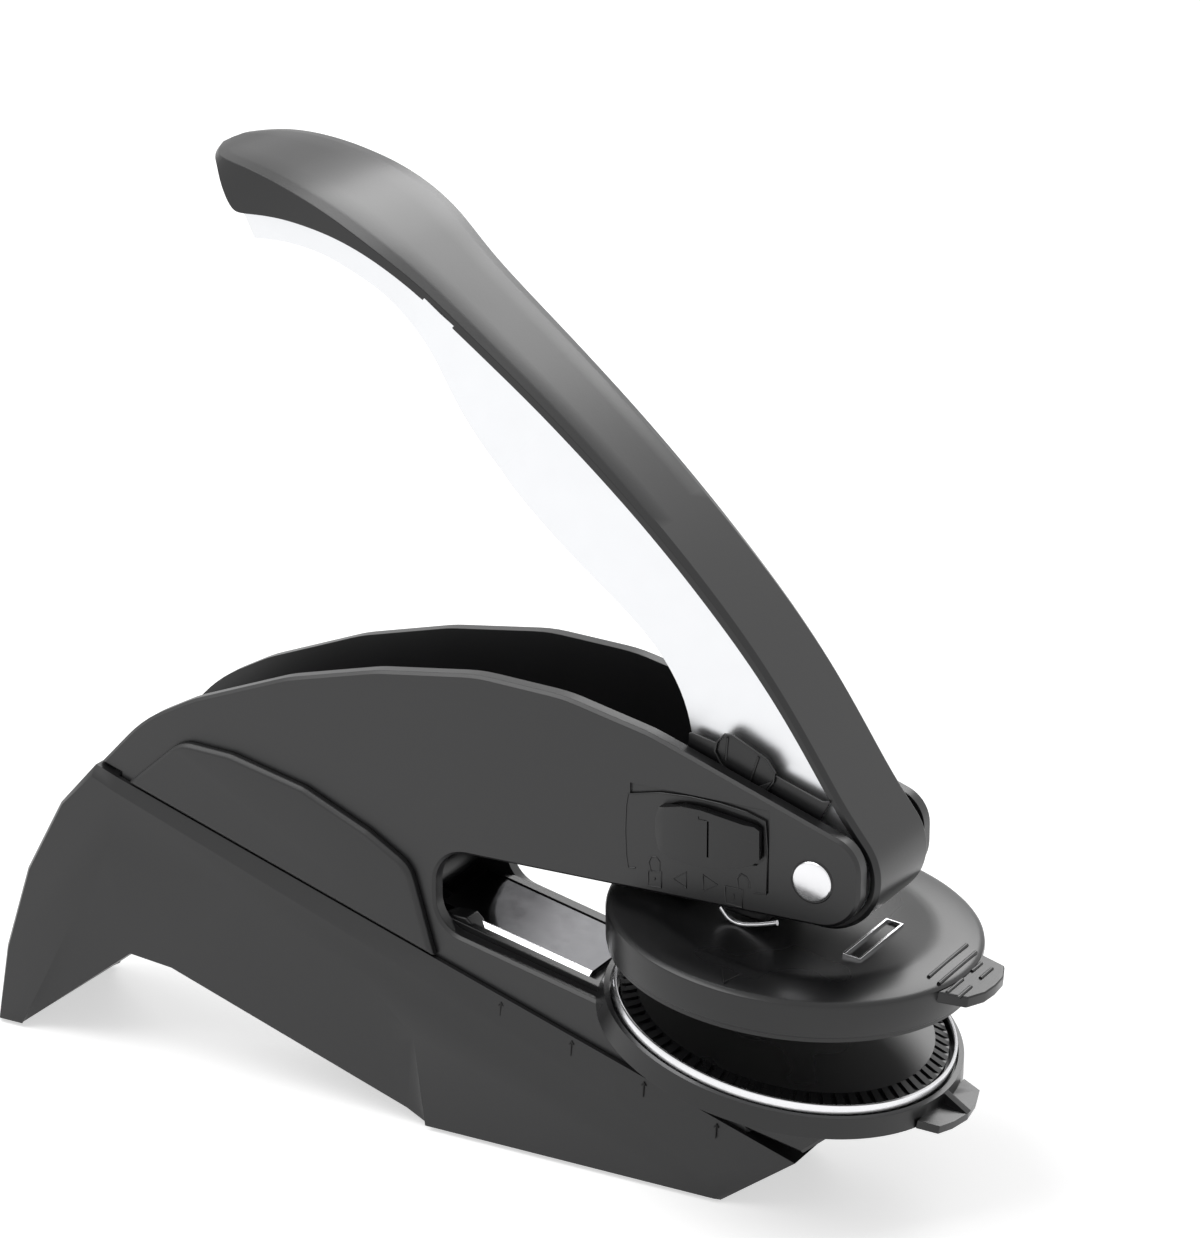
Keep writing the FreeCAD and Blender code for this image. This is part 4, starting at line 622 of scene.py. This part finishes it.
lockShape = {
    "button": ((-20.11, 50.73), (-16.99, 51.48), (-14.29, 51.50), (-11.59, 51.14), (-7.31, 50.59),
               (-6.63, 50.22), (-6.59, 46.51), (-7.51, 45.67), (-9.51, 45.00), (-12.20, 44.32),
               (-15.58, 44.14), (-18.30, 44.49), (-20.22, 45.26), (-20.64, 47.13), (-20.65, 49.07)),
    "buttonFoot": -10.05,
    "buttonFace": -11.25,
    "buttonRim": 0.28,
    "slopes": ((-8.7, 1, 0.4), (-19.3, -1, 0.35)),  # from where, to which side, how deep
    "slopeStart": 0.05,
    "groove": (-13.42, -13.18, 45.64, 50.3, 0.6),
    "grooveHead": (-14.6, -13.42, 50.3, 50.72, 0.12),
    "stem": ((-15.2, 46.0), (-11.4, 46.0), (-11.4, 49.4), (-15.2, 49.4)),
    "stemEnd": -7.8,
    "bezel": ((-24.83, 41.95), (-25.11, 43.10), (-25.25, 46.34), (-25.12, 49.63), (-24.85, 51.11),
              (-20.47, 52.10), (-16.39, 52.39), (-12.34, 52.29), (-8.98, 51.93), (-6.30, 51.19),
              (-5.99, 47.66), (-6.05, 41.95)),
    "well": ((-19.3, 45.3), (-19.78, 50.56), (-17.74, 51.70), (-15.03, 51.97), (-11.66, 51.74),
             (-7.37, 51.12), (-6.50, 50.5), (-6.37, 46.29), (-7.4, 45.3), (-12.0, 44.9)),
    "bezelFace": -9.915,
    "bezelBack": -9.55,
    "signFace": -9.895,
    "bezelLine": ((-23.86, 41.65), (-24.83, 41.45), (-25.11, 43.10), (-25.25, 46.34), (-25.12, 49.63),
                  (-24.85, 51.11), (-20.47, 52.10), (-16.39, 52.39), (-12.34, 52.29), (-8.98, 51.93),
                  (-6.30, 51.19), (-5.99, 47.66), (-6.05, 41.9), (-7.65, 41.76)),
    "lineRadius": 0.1,
    "signRadius": 0.12,
}

lockSigns = (
    (((-22.07, 41.63), (-20.28, 41.87), (-20.27, 39.77), (-22.06, 39.66)), True),
    (((-21.75, 41.75), (-22.0, 42.81), (-21.66, 43.54), (-20.97, 43.68), (-20.52, 43.12), (-20.52, 42.0)),
     False),
    (((-18.63, 41.29), (-16.86, 42.57), (-16.85, 40.49)), True),
    (((-14.55, 42.66), (-12.64, 41.76), (-14.53, 40.58)), True),
    (((-11.56, 41.85), (-9.26, 41.81), (-9.24, 39.48), (-11.54, 39.64)), True),
    (((-9.81, 41.9), (-9.95, 43.23), (-9.42, 43.85), (-8.75, 43.61), (-8.34, 42.91), (-8.33, 42.27)),
     False),
    (((-21.2, 40.6), (-21.15, 40.9)), False), (((-10.4, 40.4), (-10.4, 41.0)), False))


def makeLockButton():
    shape = lockShape
    bm = sidePlate(shape["button"], shape["buttonFoot"], shape["buttonFace"])
    for where, side, drop in shape["slopes"]:
        cutAt(bm, 0, where)
        for vert in bm.verts:
            onTop = abs(vert.co.y - shape["buttonFace"]) < onFace
            if onTop and (vert.co.x - where) * side > shape["slopeStart"]:
                vert.co.y += drop
    for left, right, low, high, depth in (shape["groove"], shape["grooveHead"]):
        sinkPatch(bm, left, right, low, high, shape["buttonFace"], depth)
    button = placePiece(bm, bodyFrame, "lock_button_cap", "lock_slide", "die_black",
                        rim=shape["buttonRim"], rimSteps=3, sharp=40)
    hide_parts("lock_button")
    stem = sidePlate(shape["stem"], shape["buttonFoot"], shape["stemEnd"])
    placePiece(stem, bodyFrame, "lock_button_stem", "lock_slide", "die_black")


def makeBezel():
    shape = lockShape
    bm = bmesh.new()
    rings = []
    for outline in (shape["bezel"], shape["well"]):
        rings += closeRing(bm, [(x, shape["bezelFace"], z) for x, z in outline])
    filled = bmesh.ops.triangle_fill(bm, use_beauty=True, edges=rings, normal=(0, -1, 0))["geom"]
    faces = [item for item in filled if isinstance(item, bmesh.types.BMFace)]
    grown = bmesh.ops.extrude_face_region(bm, geom=faces)
    shiftGrown(bm, grown, (0, shape["bezelBack"] - shape["bezelFace"], 0))
    placePiece(bm, bodyFrame, "lock_bezel", "frame", "frame_black")
    line = [(tuple((x, shape["bezelFace"], z) for x, z in shape["bezelLine"]), False)]
    tube(line, bodyFrame, shape["lineRadius"], "bezel_line", "frame", "frame_black", sharp=60)
    signs = [(tuple((x, shape["signFace"], z) for x, z in points), closed) for points, closed in lockSigns]
    tube(signs, bodyFrame, shape["signRadius"], "lock_signs", "frame", "frame_black", sharp=60)


hookShape = {
    "rim": ((-12.38, 55.5), (-13.47, 56.74), (-14.16, 57.89), (-13.90, 59.09), (-12.97, 60.16),
            (-12.03, 60.21), (-9.74, 59.12), (-7.46, 58.03), (-6.37, 56.58), (-6.49, 55.53), (-7.80, 53.6)),
    "front": -7.86,
    "back": -7.45,
    "wall": 0.22,
    "skin": 0.1,
    "overlap": 0.02,
    "ribFace": -7.5,
    "ribRadius": 0.16,
    "lipWall": 0.3,
    "ribs": (((-12.69, 59.9), (-12.93, 57.0)), ((-8.51, 58.2), (-9.67, 54.6))),
    "lip": ((-9.0, 54.2), (-6.5, 55.6), (-7.8, 53.7)),
}

carriageShape = {
    "outline": ((-18.0, 43.4), (-5.4, 43.4), (-5.4, 51.2), (-0.54, 51.32), (0.99, 54.30), (-0.06, 54.09),
                (-5.92, 56.00), (-11.02, 57.70), (-14.40, 58.84), (-17.51, 59.53), (-18.0, 59.4)),
    "outer": -7.44,
    "inner": -7.12,
    "tooth": ((-11.5, 44.4), (-8.6, 44.4), (-8.6, 46.0), (-11.5, 46.0)),
    "toothStart": -7.14,
    "toothEnd": -6.17,
}


def makeHook():
    shape = hookShape
    bm = bmesh.new()
    verts = [bm.verts.new((x, shape["front"], z)) for x, z in shape["rim"]]
    edges = [bm.edges.new(pair) for pair in zip(verts, verts[1:])]
    shiftGrown(bm, bmesh.ops.extrude_edge_only(bm, edges=edges), (0, shape["back"] - shape["front"], 0))
    bmesh.ops.solidify(bm, geom=bm.faces[:], thickness=shape["wall"])
    face = drawOutline(bm, shape["rim"], shape["back"] - shape["overlap"])
    thicken(bm, face, (0, shape["skin"], 0))
    hook = placePiece(bm, bodyFrame, "hook_cup", "lock_slide", "die_black", rim=0.05)
    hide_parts("lock_hook")
    ribs = [(tuple((x, shape["ribFace"], z) for x, z in pair), False) for pair in shape["ribs"]]
    tube(ribs, bodyFrame, shape["ribRadius"], "hook_ribs", "lock_slide", "die_black", sharp=60)
    lipFace = shape["front"] - shape["overlap"]
    lip = sidePlate(shape["lip"], lipFace, lipFace + shape["lipWall"])
    placePiece(lip, bodyFrame, "hook_lip", "lock_slide", "die_black", rim=0.05)


def makeCarriage():
    shape = carriageShape
    bm = sidePlate(shape["outline"], shape["outer"], shape["inner"])
    tooth = drawOutline(bm, shape["tooth"], shape["toothStart"])
    thicken(bm, tooth, (0, shape["toothEnd"] - shape["toothStart"], 0))
    carriage = placePiece(bm, bodyFrame, "lock_strip", "lock_slide", "die_black", rim=0.08)
    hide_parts("lock_carriage")


# Throat: polished table between the plates with its steel edge, two ribs below it and a small stop.

throatShape = {
    "back": -46.5,
    "front": -24.2,
    "high": -3.98,
    "low": -4.95,
    "near": -4.9,
    "far": 6.55,
    "edgeBack": -42.5,
    "rim": 0.04,
    "edge": ((-4.9, -3.96), (-5.05, -3.96), (-5.75, -4.6), (-5.75, -4.9), (-4.9, -4.9)),
    "ledge": ((-5.75, -4.85), (-7.85, -4.85), (-7.85, -5.6), (-5.75, -5.6)),
    "ribs": ((-6.35, -4.7), (-7.1, -4.8)),
    "ribRadius": 0.16,
    "stop": ((-53.1, 28.34), (-51.33, 28.6), (-49.43, 28.57), (-48.42, 27.69), (-47.27, 26.57),
             (-48.15, 25.84), (-50.19, 26.22), (-52.24, 26.33)),
    "stopNear": -7.3,
    "stopFar": -4.4,
    "ring": ((21.12, -2.4), (21.12, -0.3), (21.2, -0.12), (21.36, -0.05), (21.52, -0.12), (21.6, -0.3),
             (21.6, -2.4), (21.12, -2.4)),
}


def alongThroat(outline, back, front):  # a strip of the given section, drawn as across and up
    bm = bmesh.new()
    face = bm.faces.new([bm.verts.new((back, across, up)) for across, up in outline])
    thicken(bm, face, (front - back, 0, 0))
    return bm


def makeThroat():
    shape = throatShape
    back, front, edgeBack = shape["back"], shape["front"], shape["edgeBack"]
    near, far = shape["near"], shape["far"]
    slab = planSlab(((back, near), (front, near), (front, far), (back, far)), shape["low"], shape["high"])
    table = placePiece(slab, lowerFrame, "throat_table", "frame", "spring_steel", rim=shape["rim"])
    table.data.materials[0] = polishedTable
    edge = alongThroat(shape["edge"], edgeBack, front)
    placePiece(edge, lowerFrame, "table_edge", "frame", "steel_bright", rim=shape["rim"])
    ledge = alongThroat(shape["ledge"], back, front)
    placePiece(ledge, lowerFrame, "throat_ledge", "frame", "die_black", rim=shape["rim"])
    ribs = [(((edgeBack, across, up), (front, across, up)), False) for across, up in shape["ribs"]]
    tube(ribs, lowerFrame, shape["ribRadius"], "throat_ribs", "frame", "die_black", sharp=60)
    stop = sidePlate(shape["stop"], shape["stopNear"], shape["stopFar"])
    stop = placePiece(stop, bodyFrame, "paper_stop", "frame", "die_black", rim=0.25)
    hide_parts("throat_stop")
    ring = placePiece(turned(shape["ring"]), lowerFrame, "die_ring_round", "frame", "steel_bright", sharp=40)
    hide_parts("lower_die_ring")


# Small things: lift wire, shoe marks and springs.

wireShape = {
    "radius": 0.34,
    "path": ((-13.9, -6.6, 37.4), (-13.5, -6.6, 36.8), (-12.87, -6.55, 36.10), (-12.0, -6.5, 35.7),
             (-11.0, -6.5, 35.6), (-9.60, -6.5, 35.85), (-7.85, -6.5, 36.3), (-6.3, -6.4, 36.8)),
}

shoeMarks = {
    "spots": ((-42.4, 20.0, 18.3), (-32.3, 17.0, 15.1), (-22.1, 13.8, 11.9), (-12.0, 10.5, 8.7)),
    "top": -10.78,
    "foot": -11.0,
    "radius": 0.09,
    "barb": (0.3, 0.45),
}


def makeLiftWire():
    wire = tube([(wireShape["path"], False)], bodyFrame, wireShape["radius"], "lift_wire_bent",
                "upper_die_swing", "steel_bright", smooth=True, sides=4, sharp=60)
    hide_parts("lift_wire")


def makeShoeMarks():
    paths = []
    barbOut, barbDown = shoeMarks["barb"]
    for x, top, foot in shoeMarks["spots"]:
        slope = (shoeMarks["foot"] - shoeMarks["top"]) / (top - foot)
        side = shoeMarks["top"] + barbDown * slope
        tip = (x, shoeMarks["top"], top)
        barbs = [(x + turn * barbOut, side, top - barbDown) for turn in (-1, 1)]
        paths.append(((tip, (x, shoeMarks["foot"], foot)), False))
        paths.append(((barbs[0], tip, barbs[1]), False))
    tube(paths, bodyFrame, shoeMarks["radius"], "shoe_arrows", "frame", "pad_rubber", sharp=60)


springShape = {
    "hinge_spring": {"x": -66.2, "z": 37.1, "radius": 2.15, "wire": 0.38, "half": 2.2, "turns": 5,
                     "start": 0},
    "lever_return_spring": {"x": 0.0, "z": pivotHeight, "radius": 2.4, "wire": 0.4, "half": 2.3, "turns": 5,
                            "start": 110},
}
turnSteps = 16


def makeSprings():
    for name, shape in springShape.items():
        points = []
        steps = shape["turns"] * turnSteps
        for step in range(steps + 1):
            angle = math.tau * step / turnSteps + math.radians(shape["start"])
            across = shape["half"] * (2 * step / steps - 1)
            points.append((shape["x"] + shape["radius"] * math.sin(angle), across,
                           shape["z"] + shape["radius"] * math.cos(angle)))
        coil = tube([(points, False)], bodyFrame, shape["wire"], name + "_coil", "frame", "spring_steel",
                    sharp=60)
        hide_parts(name)


bpy.context.scene.view_settings.view_transform = "Standard"
makeCamera()
makeWorld()
for lampName in ("topLamp", "backLamp"):
    makeLamp(lampName, target=studio["lampTarget"], **studio[lampName])
makeFloor()
print("studio ready")
nodeSlots = dressNodes()
makeSoftCopies()
makeChannel()
makeGripScrews()
makeThroat()
print("rounded copies ready")
makeLeverCover()
makeUpperHolder()
makeWindow()
makePivotPin()
print("lever and dies ready")
makeLockButton()
makeBezel()
makeHook()
makeCarriage()
print("lock ready")
makeLiftWire()
makeShoeMarks()
makeSprings()
print("small things ready")
